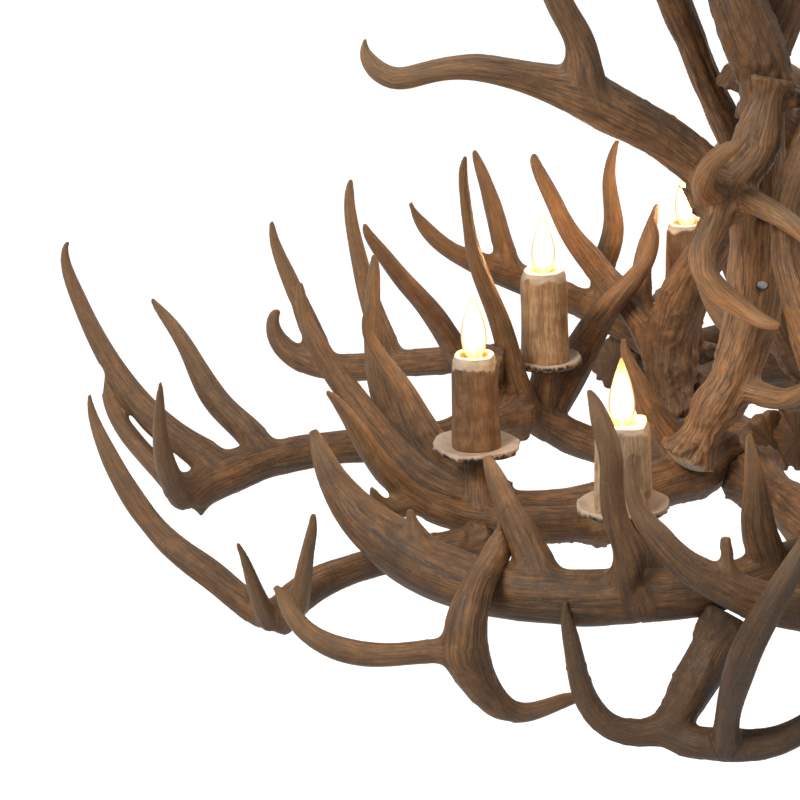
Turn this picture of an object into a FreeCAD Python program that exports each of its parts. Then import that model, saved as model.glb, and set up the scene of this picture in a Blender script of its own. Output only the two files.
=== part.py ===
"""Antler chandelier with eight candle lights.

Thirty shed antlers are coped to each other, pinned, and hung from a pipe stem with a swinging
ring. Eight of them end in a sawn seat that carries a candle: an antler slice as the drip
dish, a socket on a threaded nipple, an antler sleeve round the socket, and a flame-tip bulb.

The left half is described below and the right half is the same set turned half a turn about
the stem. Routes are measured from the stem's axis and from the candle level, with -Y to the
front. The part's own origin is the seat of the hanging ring, on the same axis.
"""
import FreeCAD, Part
import math
import os
import Sketcher

Vec = FreeCAD.Vector
UP = Vec(0, 0, 1)
QUARTER = 90                   # degrees
FULL = 360
STEEP = 0.9                    # rise per length above which a beam counts as upright
doc = FreeCAD.newDocument("antler_chandelier")

# ---------------------------------------------------------------- driving sizes, millimetres
SIZES = {
    "half_turn": 180,          # degrees from the left half to the right half
    "cope_gap": 0.2,           # glue line left between two coped antlers
    "burr_flare": 1.16,        # coronet radius as a share of the beam's own radius
    "burr_length": 9,          # from the sawn face to the thickest part of the coronet
    "neck_length": 21.6,       # from the sawn face to the neck behind the coronet
    "neck_share": 0.98,        # the neck's radius as a share of the beam's own radius
    "pin_radius": 3,           # steel pins that join antler to antler
    "pin_gap": 0.15,           # all round a pin or bolt in its hole
    "pin_inset": 14,           # from a sawn burr face to the pin's end
    "stem_radius": 8.6,        # 3/8 inch pipe
    "stem_bore": 6.3,
    "stem_top": 590,           # this and the next height are above the candle level
    "stem_bottom": 110,
    "foot_radius": 8.0,        # threaded foot of the pipe
    "foot_length": 30,
    "bolt_radius": 4,          # cross bolts that clamp the two column antlers to the stem
    "bolt_head_radius": 7,
    "bolt_head_depth": 5,
    "bolt_head_gap": 1,        # round a bolt's head in its sunk seat
    "low_bolt_height": 176,
    "low_bolt_reach": 80,      # from the stem's axis to the seat of the head or the nut
    "high_bolt_height": 262,
    "high_bolt_reach": 70,
    "cap_radius": 14,          # cap on the stem's top, cast in one with the eye
    "cap_crown": 8,            # cap above the pipe's end
    "cap_skirt": 20,           # cap around the pipe
    "cap_gap": 0.15,
    "eye_wire": 5,             # radius of the eye's bar
    "eye_radius": 16,          # of the bar's centre line
    "eye_sink": 3,
    "ring_wire": 4.5,
    "ring_radius": 30,
    "ring_gap": 0.3,
    "saw_radius": 40,          # room above a sawn tine
    "saw_height": 70,
    "dish_thickness": 15,      # drip dish: a slice of an antler's burr
    "dish_edge": 6,
    "dish_lean": 2,            # how far the rim leans in above its widest place
    "dish_dip": 4,             # depth of the floor below the rim
    "dish_slope": 2,           # width of the slope down to the floor
    "dish_floor": 41,          # radius of the flat floor that the sleeve stands on
    "nipple_radius": 4.8,      # 1/8 inch lamp pipe
    "nipple_bore": 3.4,
    "nipple_root": 24,         # depth in the antler
    "nipple_rise": 6,          # height above the lock nut
    "nipple_gap": 0.15,
    "nut_radius": 9.5,
    "nut_height": 4,
    "socket_radius": 13.5,
    "socket_recess": 6,        # from the sleeve's top down to the socket's top
    "socket_well": 6.6,
    "well_depth": 22,
    "sleeve_taper": 2,
    "sleeve_bore": 17,
    "lamp_thread": 6.2,        # candelabra screw base
    "lamp_base": 20,
    "lamp_gap": 0.3,           # under the glass, above the socket's rim
    "glass_neck": 7.6,
    "glass_radius": 16,
    "glass_height": 84,
    "front_dish": 57, "front_sleeve": 34, "front_height": 104,
    "side_dish": 55, "side_sleeve": 29.5, "side_height": 117,
    "back_dish": 49, "back_sleeve": 32, "back_height": 124,
    "rear_dish": 47, "rear_sleeve": 29, "rear_height": 106,
}
sheet = doc.addObject("Spreadsheet::Sheet", "sizes")
for row, (alias, value) in enumerate(SIZES.items(), start=1):
    sheet.set(f"A{row}", alias)
    sheet.set(f"B{row}", str(value))
    sheet.setAlias(f"B{row}", alias)
doc.recompute()


def size(name):
    return float(sheet.get(name))


# ---------------------------------------------------------------- antler routes
# Each antler is a list of branches, the main beam first. A branch runs from its root to its
# tip through points of x, y, z and radius. Each later branch roots inside the beam.
FRONT_RIM = [
    [(110, -285, -76, 29), (45, -360, -80, 27), (-2, -400, -83, 26), (-55, -425, -92, 28),
     (-113, -440, -94, 31), (-200, -450, -94, 33), (-270, -440, -95, 33),
     (-330, -420, -91, 33), (-380, -400, -80, 35), (-428, -370, -63, 34),
     (-470, -340, -40, 28), (-508, -310, -2, 19), (-526, -290, 29, 12), (-536, -280, 53, 5)],
    [(-397, -390, -61, 26), (-407, -385, -36, 14), (-412, -380, -11, 4)],
    [(-250, -440, -92, 30), (-264, -420, -60, 24), (-288, -370, -31, 18),
     (-312, -310, -6, 13), (-329, -260, 11, 6)],
    [(-142, -450, -97, 30), (-153, -458, -52, 22), (-164, -455, -4, 16),
     (-171, -450, 37, 14.5), (-172, -442, 77, 14), (-182, -430, 110, 12.5),
     (-191, -420, 134, 8), (-199, -415, 147, 3.5)],
    [(-110, -430, -100, 27), (-124, -405, -78, 19), (-144, -362, -60, 16.5),
     (-160, -338, -46, 17), (-163, -335, -18, 17)],
    [(30, -372, -88, 25), (7, -400, -60, 23), (-5, -410, -14, 20), (-8, -410, 35, 13),
     (-13, -405, 71, 7), (-14, -402, 91, 3)],
]
FRONT_CROSS = [
    [(205, -440, -85, 31), (188, -472, -98, 28), (136, -500, -94, 26), (78, -515, -86, 25),
     (21, -525, -74, 25), (-19, -528, -61, 24), (-50, -528, -45, 22), (-82, -525, -28, 19),
     (-108, -520, -4, 16), (-130, -510, 20, 13), (-143, -500, 43, 10), (-149, -490, 70, 7),
     (-146, -482, 94, 3)],
    [(-31, -530, -54, 16), (-38, -528, -24, 10), (-41, -520, 7, 6)],
    [(136, -500, -90, 22), (126, -505, -52, 16), (114, -510, -2, 12.5), (109, -512, 47, 9),
     (111, -512, 89, 3.5)],
]
FRONT_LOW = [
    [(-295, -330, -45, 13), (-304, -380, -53, 15), (-315, -440, -60, 17),
     (-328, -487, -74, 20), (-337, -508, -103, 24), (-339, -514, -135, 28),
     (-324, -508, -177, 22), (-301, -502, -209, 18), (-275, -492, -221, 12),
     (-245, -478, -218, 10), (-219, -462, -215, 7.5), (-199, -450, -211, 3.5)],
    [(-345, -512, -136, 22), (-370, -514, -136, 16), (-418, -516, -140, 14),
     (-460, -516, -139, 15), (-496, -512, -130, 14), (-525, -505, -114, 12),
     (-546, -495, -88, 9), (-560, -490, -67, 3.5)],
    [(-304, -508, -207, 14), (-309, -514, -187, 7.5), (-306, -514, -166, 2.5)],
]
BOTTOM = [
    [(-36, -446, -118, 30), (-64, -470, -165, 27), (-88, -488, -205, 24),
     (-109, -497, -234, 20), (-142, -502, -241, 16), (-176, -503, -232, 15.5),
     (-197, -500, -209, 14), (-209, -497, -179, 12.5), (-216, -492, -144, 11),
     (-223, -486, -109, 8), (-224, -482, -83, 3)],
    [(-112, -500, -238, 17), (-72, -512, -248, 19), (-28, -520, -247, 20),
     (18, -520, -241, 18.5), (65, -508, -218, 15.5), (103, -496, -181, 12),
     (121, -489, -149, 8), (130, -485, -125, 3)],
    [(-39, -522, -246, 19), (-37, -550, -186, 15.5), (-26, -568, -137, 17.5),
     (-10, -581, -90, 18), (16, -580, -40, 16), (43, -564, 5, 11), (60, -552, 44, 3.5)],
]
SIDE_ARM = [
    [(-326, 172, -79, 28), (-362, 100, -66, 25), (-405, 40, -64, 24), (-466, 30, -68, 22),
     (-533, 15, -68, 22), (-580, 0, -70, 22), (-630, -20, -74, 25), (-673, -40, -82, 28),
     (-706, -62, -93, 27), (-725, -82, -106, 22)],
    [(-697, -45, -78, 26), (-747, -25, -43, 20), (-797, 0, -5, 18), (-830, 20, 34, 15),
     (-861, 38, 85, 12), (-882, 50, 132, 10), (-893, 56, 167, 7), (-890, 60, 195, 3)],
    [(-640, -15, -66, 24), (-676, 15, -32, 18), (-707, 35, -5, 16.5), (-733, 55, 35, 13),
     (-760, 72, 76, 9), (-789, 85, 111, 3)],
    [(-727, -82, -106, 20), (-742, -112, -66, 15.5), (-747, -128, -26, 12),
     (-747, -138, 12, 9), (-744, -144, 47, 6), (-741, -148, 72, 2.5)],
    [(-728, -68, -100, 20), (-757, -48, -87, 16.5), (-783, -28, -69, 14),
     (-808, -12, -46, 13), (-831, 2, -14, 11), (-844, 14, 25, 4)],
    [(-709, -70, -110, 14), (-712, -80, -134, 3)],
]
SIDE_LOW = [
    [(-335, -228, -104, 22), (-368, -240, -108, 20), (-404, -252, -110, 19),
     (-439, -270, -111, 19), (-482, -290, -117, 18), (-524, -308, -128, 20),
     (-553, -320, -143, 21), (-575, -330, -163, 23), (-586, -335, -182, 20)],
    [(-592, -332, -167, 20), (-639, -320, -138, 18), (-679, -305, -112, 18),
     (-717, -290, -87, 16), (-751, -275, -52, 14.5), (-779, -260, -11, 13),
     (-801, -245, 31, 9), (-811, -238, 58, 6), (-815, -232, 83, 3)],
    [(-587, -342, -172, 17), (-597, -360, -139, 12), (-604, -370, -107, 9),
     (-610, -378, -78, 6), (-618, -384, -53, 3)],
    [(-569, -340, -168, 17), (-551, -355, -135, 13), (-543, -362, -101, 10.5),
     (-535, -368, -64, 8), (-529, -372, -38, 6), (-527, -374, -19, 3)],
]
BACK_SIDE = [
    [(-336, 180, -8, 23), (-374, 190, -3, 20), (-414, 197, -8, 18.5), (-455, 205, -14, 18.5),
     (-503, 212, -20, 18.5), (-552, 222, -26, 18.5), (-593, 232, -25, 19.5),
     (-621, 240, -17, 17.5), (-640, 244, -5, 15), (-652, 247, 12, 12), (-655, 250, 29, 9),
     (-646, 252, 46, 3)],
    [(-588, 232, -20, 19), (-604, 245, 21, 15.5), (-620, 256, 58, 12.5),
     (-636, 266, 94, 10.5), (-650, 275, 129, 7.5), (-655, 282, 161, 3.5)],
    [(-490, 212, -18, 19), (-507, 225, 25, 16), (-522, 240, 62, 14), (-534, 255, 106, 12),
     (-543, 268, 144, 10), (-549, 280, 183, 8), (-547, 290, 216, 3.5)],
]
BACK_ARM = [
    [(14, 58, -80, 36), (-58, 165, -104, 37), (-110, 200, -133, 32), (-164, 218, -144, 27),
     (-218, 226, -139, 24), (-259, 228, -124, 24), (-298, 224, -101, 23),
     (-341, 205, -74, 20), (-364, 185, -43, 19), (-384, 165, -6, 18), (-402, 150, 26, 17),
     (-419, 130, 63, 15.5), (-437, 110, 97, 14), (-460, 90, 133, 12), (-482, 72, 171, 10),
     (-497, 56, 200, 7.5), (-503, 48, 220, 3)],
    [(-310, 218, -94, 22), (-326, 190, -28, 17), (-336, 186, 18, 15), (-347, 184, 57, 14),
     (-360, 182, 95, 12.5), (-373, 180, 135, 11), (-381, 174, 184, 8.5),
     (-385, 168, 232, 7), (-381, 160, 280, 3)],
    [(-288, 230, -108, 25), (-276, 274, -80, 26), (-244, 320, -32, 24), (-220, 326, 8, 20),
     (-196, 314, 42, 16.5), (-170, 320, 70, 13.5), (-151, 330, 98, 10),
     (-145, 334, 125, 7.5), (-149, 338, 149, 4)],
    [(-292, 225, -112, 23), (-295, 240, -75, 21), (-289, 250, -46, 20),
     (-289, 250, -18, 20)],
]
BACK_RIM = [
    [(-57, 388, -86, 34), (-121, 425, -68, 30), (-170, 440, -43, 26.5), (-219, 446, -17, 24),
     (-261, 446, 3, 21), (-316, 440, 27, 21), (-356, 430, 45, 19.5), (-393, 420, 63, 16.5),
     (-423, 410, 81, 13), (-449, 402, 105, 11.5), (-469, 394, 134, 7.5), (-478, 388, 158, 3.5)],
    [(-346, 434, 42, 19), (-355, 436, 80, 15), (-364, 440, 116, 13), (-374, 444, 154, 11.5),
     (-385, 447, 188, 9), (-394, 449, 216, 3.5)],
    [(-230, 446, -8, 21), (-220, 452, 40, 17.5), (-210, 455, 74, 16.5), (-204, 457, 107, 15),
     (-207, 458, 142, 12.5), (-209, 458, 178, 9), (-204, 458, 207, 6), (-197, 458, 226, 3)],
    [(-100, 416, -78, 26), (-101, 398, -42, 21), (-102, 386, -10, 20),
     (-102, 385, 26, 20)],
]
TALL_BACK = [
    [(-114, 236, -108, 35), (-122, 266, -48, 35), (-120, 278, -2, 34.5), (-107, 275, 48, 33),
     (-83, 262, 103, 29), (-56, 235, 163, 25), (-35, 195, 226, 22), (-31, 150, 284, 21.5),
     (-46, 118, 333, 20), (-68, 88, 392, 19.5), (-88, 60, 453, 20), (-109, 38, 510, 20),
     (-128, 20, 561, 18), (-147, 5, 618, 14.5), (-160, -8, 677, 10.5), (-167, -16, 723, 3.5)],
    [(-130, 280, -22, 27), (-158, 320, 3, 24), (-186, 360, 28, 20.5), (-214, 380, 52, 18),
     (-239, 386, 83, 17), (-262, 386, 117, 14.5), (-280, 386, 155, 11.5),
     (-296, 385, 190, 9.5), (-308, 383, 226, 4)],
    [(-156, 318, 1, 21), (-161, 347, 27, 15.5), (-163, 370, 56, 13), (-158, 386, 91, 11),
     (-149, 394, 125, 8), (-142, 399, 152, 3.5)],
]
INNER_ARM = [
    [(-45, -30, -62, 34), (-72, -60, -68, 33), (-122, -100, -76, 30), (-190, -130, -89, 26),
     (-252, -142, -96, 25), (-325, -148, -91, 23), (-375, -145, -80, 22),
     (-420, -130, -60, 21), (-454, -112, -34, 20), (-481, -98, -5, 18.5),
     (-508, -84, 27, 17), (-533, -70, 57, 15.5), (-554, -60, 89, 14), (-569, -52, 120, 10.5),
     (-575, -47, 147, 7.5), (-577, -44, 170, 3)],
    [(-87, -72, -62, 28), (-125, -76, -9, 20), (-147, -72, 29, 15), (-163, -66, 66, 9.5),
     (-170, -62, 86, 6), (-171, -60, 101, 3)],
    [(-330, -140, -86, 21), (-360, -104, -64, 21), (-392, -85, -49, 21),
     (-415, -75, -28, 20.5), (-433, -62, -3, 18), (-447, -50, 23, 15), (-461, -42, 45, 12.5),
     (-477, -35, 67, 10), (-492, -30, 92, 8), (-497, -28, 115, 5.5), (-492, -26, 135, 2.5)],
    [(-400, -82, -46, 19), (-440, -50, -44, 17.5), (-465, -28, -24, 16.5), (-480, -12, 4, 16),
     (-489, 3, 39, 14.5), (-493, 18, 81, 12.5), (-494, 30, 124, 10), (-492, 38, 155, 8),
     (-492, 44, 181, 2.5)],
]
INNER_FRONT = [
    [(-191, -172, -102, 27), (-252, -197, -97, 22), (-322, -197, -94, 21),
     (-364, -194, -88, 19.5), (-408, -194, -73, 18.5), (-441, -200, -47, 16.5),
     (-463, -206, -19, 15), (-480, -211, 10, 13.5), (-497, -216, 43, 11), (-513, -220, 69, 7),
     (-525, -223, 84, 3)],
    [(-428, -198, -64, 15), (-452, -218, -68, 12), (-466, -226, -55, 8.5),
     (-472, -230, -35, 3.5)],
    [(-345, -194, -90, 18), (-348, -172, -60, 17.5), (-350, -159, -34, 17),
     (-350, -158, -4, 17)],
]
COLUMN = [
    [(-92, -116, -40, 31), (-62, -102, 14, 29), (-39, -92, 48, 29.5), (-24, -80, 88, 32),
     (-12, -68, 129, 34), (-6, -58, 172, 36), (-4, -52, 221, 37), (-3, -49, 271, 34.5),
     (3, -42, 335, 25), (8, -38, 385, 20)],
    [(-38, -80, 52, 21), (-6, -110, 46, 16), (28, -135, 46, 13.5), (61, -158, 71, 10),
     (83, -172, 105, 3.5)],
]
TOP_ARM = [
    [(12, -92, 437, 18), (2, -98, 394, 23), (-11, -110, 350, 29), (-40, -116, 318, 31),
     (-84, -124, 345, 28), (-128, -145, 385, 27), (-170, -168, 414, 30), (-204, -182, 437, 31),
     (-251, -195, 456, 23.5), (-291, -203, 469, 19), (-332, -208, 478, 16.5),
     (-367, -210, 478, 14.5), (-403, -210, 471, 14), (-430, -208, 467, 13.5),
     (-452, -205, 477, 12), (-465, -202, 495, 8), (-465, -199, 513, 3)],
    [(-198, -182, 440, 28), (-211, -200, 498, 20), (-225, -212, 537, 17),
     (-236, -220, 562, 16.5), (-248, -232, 612, 14.5), (-255, -244, 672, 11.5),
     (-256, -252, 731, 7.5), (-252, -256, 777, 3)],
    [(-36, -118, 318, 27), (-54, -150, 279, 22), (-70, -178, 245, 16), (-66, -192, 218, 15.5),
     (-48, -200, 199, 14.5), (-20, -210, 180, 12), (4, -224, 170, 9), (22, -238, 171, 3)],
    [(-48, -136, 298, 20), (-69, -170, 331, 14.5), (-56, -190, 360, 12.5),
     (-36, -206, 379, 8.5), (-17, -218, 394, 2.5)],
    [(-32, -120, 306, 22), (0, -166, 297, 14.5), (34, -206, 286, 12), (60, -217, 264, 9.5),
     (77, -220, 231, 3.5)],
]
CROWN = [
    [(15, -56, 389, 37), (-2, -54, 448, 35), (-26, -50, 508, 34), (-47, -42, 565, 31),
     (-68, -32, 622, 28), (-82, -20, 681, 23), (-87, -8, 739, 17), (-80, 2, 792, 10),
     (-70, 8, 827, 3)],
    [(-44, -44, 556, 28), (-84, -72, 560, 16.5), (-118, -96, 572, 13.5), (-146, -112, 600, 11),
     (-162, -124, 645, 7.5), (-166, -130, 684, 3)],
    [(-74, -28, 644, 24), (-42, -44, 686, 15), (-22, -58, 734, 12), (-16, -66, 782, 8.5),
     (-18, -70, 818, 3)],
]
ANTLERS = {
    "front_rim": FRONT_RIM, "front_cross": FRONT_CROSS, "front_low": FRONT_LOW,
    "bottom": BOTTOM, "side_arm": SIDE_ARM, "side_low": SIDE_LOW, "back_side": BACK_SIDE,
    "back_arm": BACK_ARM, "back_rim": BACK_RIM, "tall_back": TALL_BACK,
    "inner_arm": INNER_ARM, "inner_front": INNER_FRONT, "column": COLUMN,
    "top_arm": TOP_ARM, "crown": CROWN,
}


# ---------------------------------------------------------------- antler shapes
def point(entry):
    return Vec(*entry[:3])


def with_coronet(route):
    """The route with the swelling of the burr put in behind its sawn face."""
    start, after = point(route[0]), point(route[1])
    along = (after - start).normalize()
    radius = route[0][3]
    length = size("burr_length")
    face = (*start, radius * (1 + size("burr_flare")) / 2)
    swell = (*(start + along * length), radius * size("burr_flare"))
    neck = (*(start + along * size("neck_length")), radius * size("neck_share"))
    return [face, swell, neck] + route[1:]


def rings(route, grow):
    """Circles square to the route, carried along it without twist."""
    places = [point(entry) for entry in route]
    wires = []
    side = None
    for index, entry in enumerate(route):
        before = places[max(index - 1, 0)]
        after = places[min(index + 1, len(route) - 1)]
        ahead = (after - before).normalize()
        if side is None:
            side = ahead.cross(UP if abs(ahead.z) < STEEP else Vec(1, 0, 0))
        side = (side - ahead * side.dot(ahead)).normalize()
        turn = FreeCAD.Rotation(side, ahead.cross(side), ahead, "ZXY")
        wire = Part.Wire(Part.makeCircle(entry[3] + grow))
        wire.Placement = FreeCAD.Placement(places[index], turn)
        wires.append(wire)
    return wires


def horn(route, grow):
    return Part.makeLoft(rings(route, grow), True, False)


def antler(branches, grow=0.0):
    beam = horn(with_coronet(branches[0]), grow)
    tines = [horn(route, grow) for route in branches[1:]]
    return beam.multiFuse(tines) if tines else beam


# Which antler is cut back to sit against which, and on the same side or the other one.
COPES = [
    ("front_rim", "tall_back", "other"), ("front_cross", "back_rim", "other"),
    ("front_low", "front_rim", "same"), ("bottom", "front_rim", "same"),
    ("side_arm", "back_arm", "same"), ("side_low", "inner_front", "same"),
    ("back_side", "back_arm", "same"), ("back_arm", "inner_arm", "other"),
    ("back_rim", "front_rim", "other"), ("tall_back", "back_arm", "same"),
    ("inner_front", "inner_arm", "same"), ("column", "inner_arm", "same"),
    ("column", "crown", "same"), ("top_arm", "crown", "same"),
]
# Each hidden steel pin runs from a point of one beam to a point of its neighbour's beam.
PINS = [
    ("front_rim", 0, "tall_back", 1, "other"), ("front_cross", 0, "back_rim", 2, "other"),
    ("front_low", 2, "front_rim", 7, "same"), ("bottom", 0, "front_rim", 3, "same"),
    ("side_arm", 0, "back_arm", 7, "same"), ("side_low", 0, "inner_front", 2, "same"),
    ("back_side", 1, "back_arm", 9, "same"), ("back_arm", 0, "inner_arm", 1, "other"),
    ("back_rim", 0, "front_rim", 1, "other"), ("tall_back", 0, "back_arm", 2, "same"),
    ("inner_front", 0, "inner_arm", 3, "same"), ("column", 1, "inner_arm", 2, "same"),
    ("column", 9, "crown", 1, "same"), ("top_arm", 1, "crown", 0, "same"),
]
# Where each left candle's drip dish sits on its sawn tine.
SEATS = {
    "front": ("front_rim", (-163, -335, -33)),
    "side": ("inner_front", (-350, -158, -18)),
    "back": ("back_arm", (-289, 250, -34)),
    "rear": ("back_rim", (-102, 385, 12)),
}
SIDES = ("left", "right")
TURN = {"left": 0.0, "right": size("half_turn")}


# ---------------------------------------------------------------- heights up the stem
LOOP_CENTRE = (size("stem_top") + size("cap_crown") + size("eye_radius") + size("eye_wire")
               - size("eye_sink"))
RING_CENTRE = (LOOP_CENTRE + size("eye_radius") - size("eye_wire") - size("ring_gap")
               + size("ring_radius") - size("ring_wire"))
HANG_SEAT = RING_CENTRE + size("ring_radius") - size("ring_wire")
DOWN = Vec(0, 0, -HANG_SEAT)


def spot(place, side):
    """A place of the left half, in the part's own frame, on the given side."""
    return FreeCAD.Rotation(UP, TURN[side]).multVec(Vec(*place)) + DOWN


def turned_half(shape, side):
    copy = shape.copy()
    copy.rotate(Vec(), UP, TURN[side])
    return copy


parts = []


def keep(obj, label):
    """Counts this object among the part's own nodes, under this name."""
    obj.Label = label
    parts.append(obj)
    return obj


# ---------------------------------------------------------------- antlers, coped and drilled
def pin_seat(name, index):
    """A point of the beam's middle line, well inside the burr where the beam starts."""
    beam = ANTLERS[name][0]
    here = point(beam[index])
    if index == 0:
        here = here + (point(beam[1]) - here).normalize() * size("pin_inset")
    return here


def pin_ends(pin):
    first, start, second, end, relation = pin
    near = pin_seat(first, start)
    far = pin_seat(second, end)
    if relation == "other":
        far = FreeCAD.Rotation(UP, TURN["right"]).multVec(far)
    return near, far


def rod(near, far, radius, spare=0.0):
    along = (far - near).normalize()
    return Part.makeCylinder(radius, near.distanceToPoint(far) + 2 * spare,
                             near - along * spare, along)


def pin_holes(name):
    """Holes that this antler needs for its pins, in the left half's frame."""
    radius, spare = size("pin_radius") + size("pin_gap"), size("pin_gap")
    holes = []
    for pin in PINS:
        hole = rod(*pin_ends(pin), radius, spare)
        if pin[0] == name:
            holes.append(hole)
        if pin[2] == name:
            holes.append(turned_half(hole, "right" if pin[4] == "other" else "left"))
    return holes


def seat_cuts(name):
    """The saw cut and the nipple's hole on a tine that carries a candle."""
    cuts = []
    for carrier, place in SEATS.values():
        if carrier == name:
            seat = Vec(*place)
            bore = size("nipple_radius") + size("nipple_gap")
            depth = size("nipple_root") + size("nipple_gap")
            cuts.append(Part.makeCylinder(size("saw_radius"), size("saw_height"), seat))
            cuts.append(Part.makeCylinder(bore, depth, seat - UP * depth))
    return cuts


def bolt_cuts(name):
    """Through holes and sunk seats for the cross bolts, in the column antlers."""
    cuts = []
    if name == "column":
        for level in ("low", "high"):
            height = size(f"{level}_bolt_height")
            reach = size(f"{level}_bolt_reach")
            deep = Vec(0, -reach, height)
            cuts.append(Part.makeCylinder(size("bolt_radius") + size("pin_gap"), reach,
                                          deep, Vec(0, 1, 0)))
            cuts.append(Part.makeCylinder(size("bolt_head_radius") + size("bolt_head_gap"),
                                          reach, deep, Vec(0, -1, 0)))
    return cuts


def fitted_antler(name, raw, tools):
    cuts = [turned_half(tools[second], "right" if relation == "other" else "left")
            for first, second, relation in COPES if first == name]
    cuts += pin_holes(name) + seat_cuts(name) + bolt_cuts(name)
    shape = raw[name].cut(cuts)
    return max(shape.Solids, key=lambda solid: solid.Volume)


def add_antlers():
    raw = {name: antler(branches) for name, branches in ANTLERS.items()}
    coped_against = {second for first, second, relation in COPES}
    tools = {name: antler(ANTLERS[name], size("cope_gap")) for name in coped_against}
    for name in ANTLERS:
        shape = fitted_antler(name, raw, tools)
        for side in SIDES:
            feature = doc.addObject("Part::Feature", f"{name}_antler_{side}")
            feature.Shape = shape
            feature.Placement = FreeCAD.Placement(DOWN, FreeCAD.Rotation(UP, TURN[side]))
            keep(feature, f"{name}_antler_{side}")


# ---------------------------------------------------------------- turned and plain pieces
def turned(name, outline):
    """A body turned about the upright axis. The outline's corners are pairs of expressions,
    radius and height, and each corner is tied to the sheet."""
    body = doc.addObject("PartDesign::Body", name)
    sketch = body.newObject("Sketcher::SketchObject", f"{name}_outline")
    plane = next(f for f in body.Origin.OriginFeatures if f.Role == "XZ_Plane")
    sketch.AttachmentSupport = [(plane, "")]
    sketch.MapMode = "FlatFace"
    count = len(outline)
    # The lines start apart on a parabola, so that the constraints below have one solution.
    for index in range(count):
        near = Vec(20 + 3 * index, index * index, 0)
        far = Vec(20 + 3 * ((index + 1) % count), ((index + 1) % count) ** 2, 0)
        sketch.addGeometry(Part.LineSegment(near, far), False)
    for index in range(count):
        sketch.addConstraint(
            Sketcher.Constraint("Coincident", index, 2, (index + 1) % count, 1))
    for index, (radius, height) in enumerate(outline):
        for kind, expression in (("DistanceX", radius), ("DistanceY", height)):
            cell = sketch.addConstraint(Sketcher.Constraint(kind, -1, 1, index, 1, 1.0))
            sketch.setExpression(f"Constraints[{cell}]", expression)
    doc.recompute()
    turning = body.newObject("PartDesign::Revolution", f"{name}_turning")
    turning.Profile = sketch
    turning.ReferenceAxis = (sketch, ["V_Axis"])
    turning.Angle = FULL
    sketch.Visibility = False
    return body


def s(text):
    """An expression in the sheet's aliases, each written between braces."""
    return text.replace("{", "sizes.").replace("}", "")


def placed(obj, place, side):
    obj.Placement = FreeCAD.Placement(spot(place, side), FreeCAD.Rotation(UP, TURN[side]))
    return obj


def cylinder(name, radius, height, start=Vec(), along=UP):
    obj = doc.addObject("Part::Cylinder", name)
    obj.setExpression("Radius", s(radius))
    obj.setExpression("Height", s(height))
    obj.Placement = FreeCAD.Placement(start, FreeCAD.Rotation(UP, along))
    return obj


def hexagon(name, radius, height, start=Vec(), along=UP):
    obj = doc.addObject("Part::Prism", name)
    obj.Polygon = 6
    obj.setExpression("Circumradius", s(radius))
    obj.setExpression("Height", s(height))
    obj.Placement = FreeCAD.Placement(start, FreeCAD.Rotation(UP, along))
    return obj


def cut(name, base, tool):
    obj = doc.addObject("Part::Cut", name)
    obj.Base = base
    obj.Tool = tool
    return obj


def fuse(name, *pieces):
    obj = doc.addObject("Part::MultiFuse", name)
    obj.Shapes = list(pieces)
    return obj


def group(name, pieces):
    obj = doc.addObject("Part::Compound", name)
    obj.Links = pieces
    return keep(obj, name)


# ---------------------------------------------------------------- stem, bolts, loop and ring
def add_stem():
    base = DOWN + UP * size("stem_bottom")
    length = "{stem_top} - {stem_bottom}"
    shaft = cylinder("stem_outside", "{stem_radius}", f"{length} - {{foot_length}}",
                     base + UP * size("foot_length"))
    foot = cylinder("stem_foot", "{foot_radius}", "{foot_length}", base)
    pipe = cut("stem_pipe", fuse("stem_blank", shaft, foot),
               cylinder("stem_inside", "{stem_bore}", length, base))
    holes = []
    for level in ("low", "high"):
        start = DOWN + Vec(0, -size("stem_radius"), size(f"{level}_bolt_height"))
        holes.append(cylinder(f"{level}_bolt_hole", "{bolt_radius} + {pin_gap}",
                              "2 * {stem_radius}", start, Vec(0, 1, 0)))
    keep(cut("centre_stem", pipe, fuse("bolt_holes", *holes)), "centre_stem")


def add_bolts():
    pieces = []
    back = Vec(0, 1, 0)
    for level in ("low", "high"):
        reach = size(f"{level}_bolt_reach")
        middle = DOWN + UP * size(f"{level}_bolt_height")
        head_depth = size("bolt_head_depth")
        shank = cylinder(f"{level}_bolt_shank", "{bolt_radius}",
                         f"2 * {{{level}_bolt_reach}} + {{bolt_head_depth}}",
                         middle - back * reach, back)
        head = hexagon(f"{level}_bolt_head", "{bolt_head_radius}", "{bolt_head_depth}",
                       middle - back * (reach + head_depth), back)
        pieces.append(fuse(f"{level}_bolt", shank, head))
        blank = hexagon(f"{level}_nut_blank", "{bolt_head_radius}", "{bolt_head_depth}",
                        middle + back * reach, back)
        thread = cylinder(f"{level}_nut_thread", "{bolt_radius} + {pin_gap}",
                          "{bolt_head_depth}", middle + back * reach, back)
        pieces.append(cut(f"{level}_nut", blank, thread))
    group("cross_bolts", pieces)


def add_loop():
    """The cap that screws on the stem, with its eye."""
    foot = DOWN + UP * (size("stem_top") - size("cap_skirt"))
    cap = cut("cap", cylinder("cap_outside", "{cap_radius}", "{cap_skirt} + {cap_crown}", foot),
              cylinder("cap_inside", "{stem_radius} + {cap_gap}", "{cap_skirt}", foot))
    eye = doc.addObject("Part::Torus", "eye")
    eye.setExpression("Radius1", s("{eye_radius}"))
    eye.setExpression("Radius2", s("{eye_wire}"))
    eye.Placement = FreeCAD.Placement(DOWN + UP * LOOP_CENTRE,
                                      FreeCAD.Rotation(Vec(1, 0, 0), QUARTER))
    keep(fuse("stem_loop", cap, eye), "stem_loop")


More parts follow.
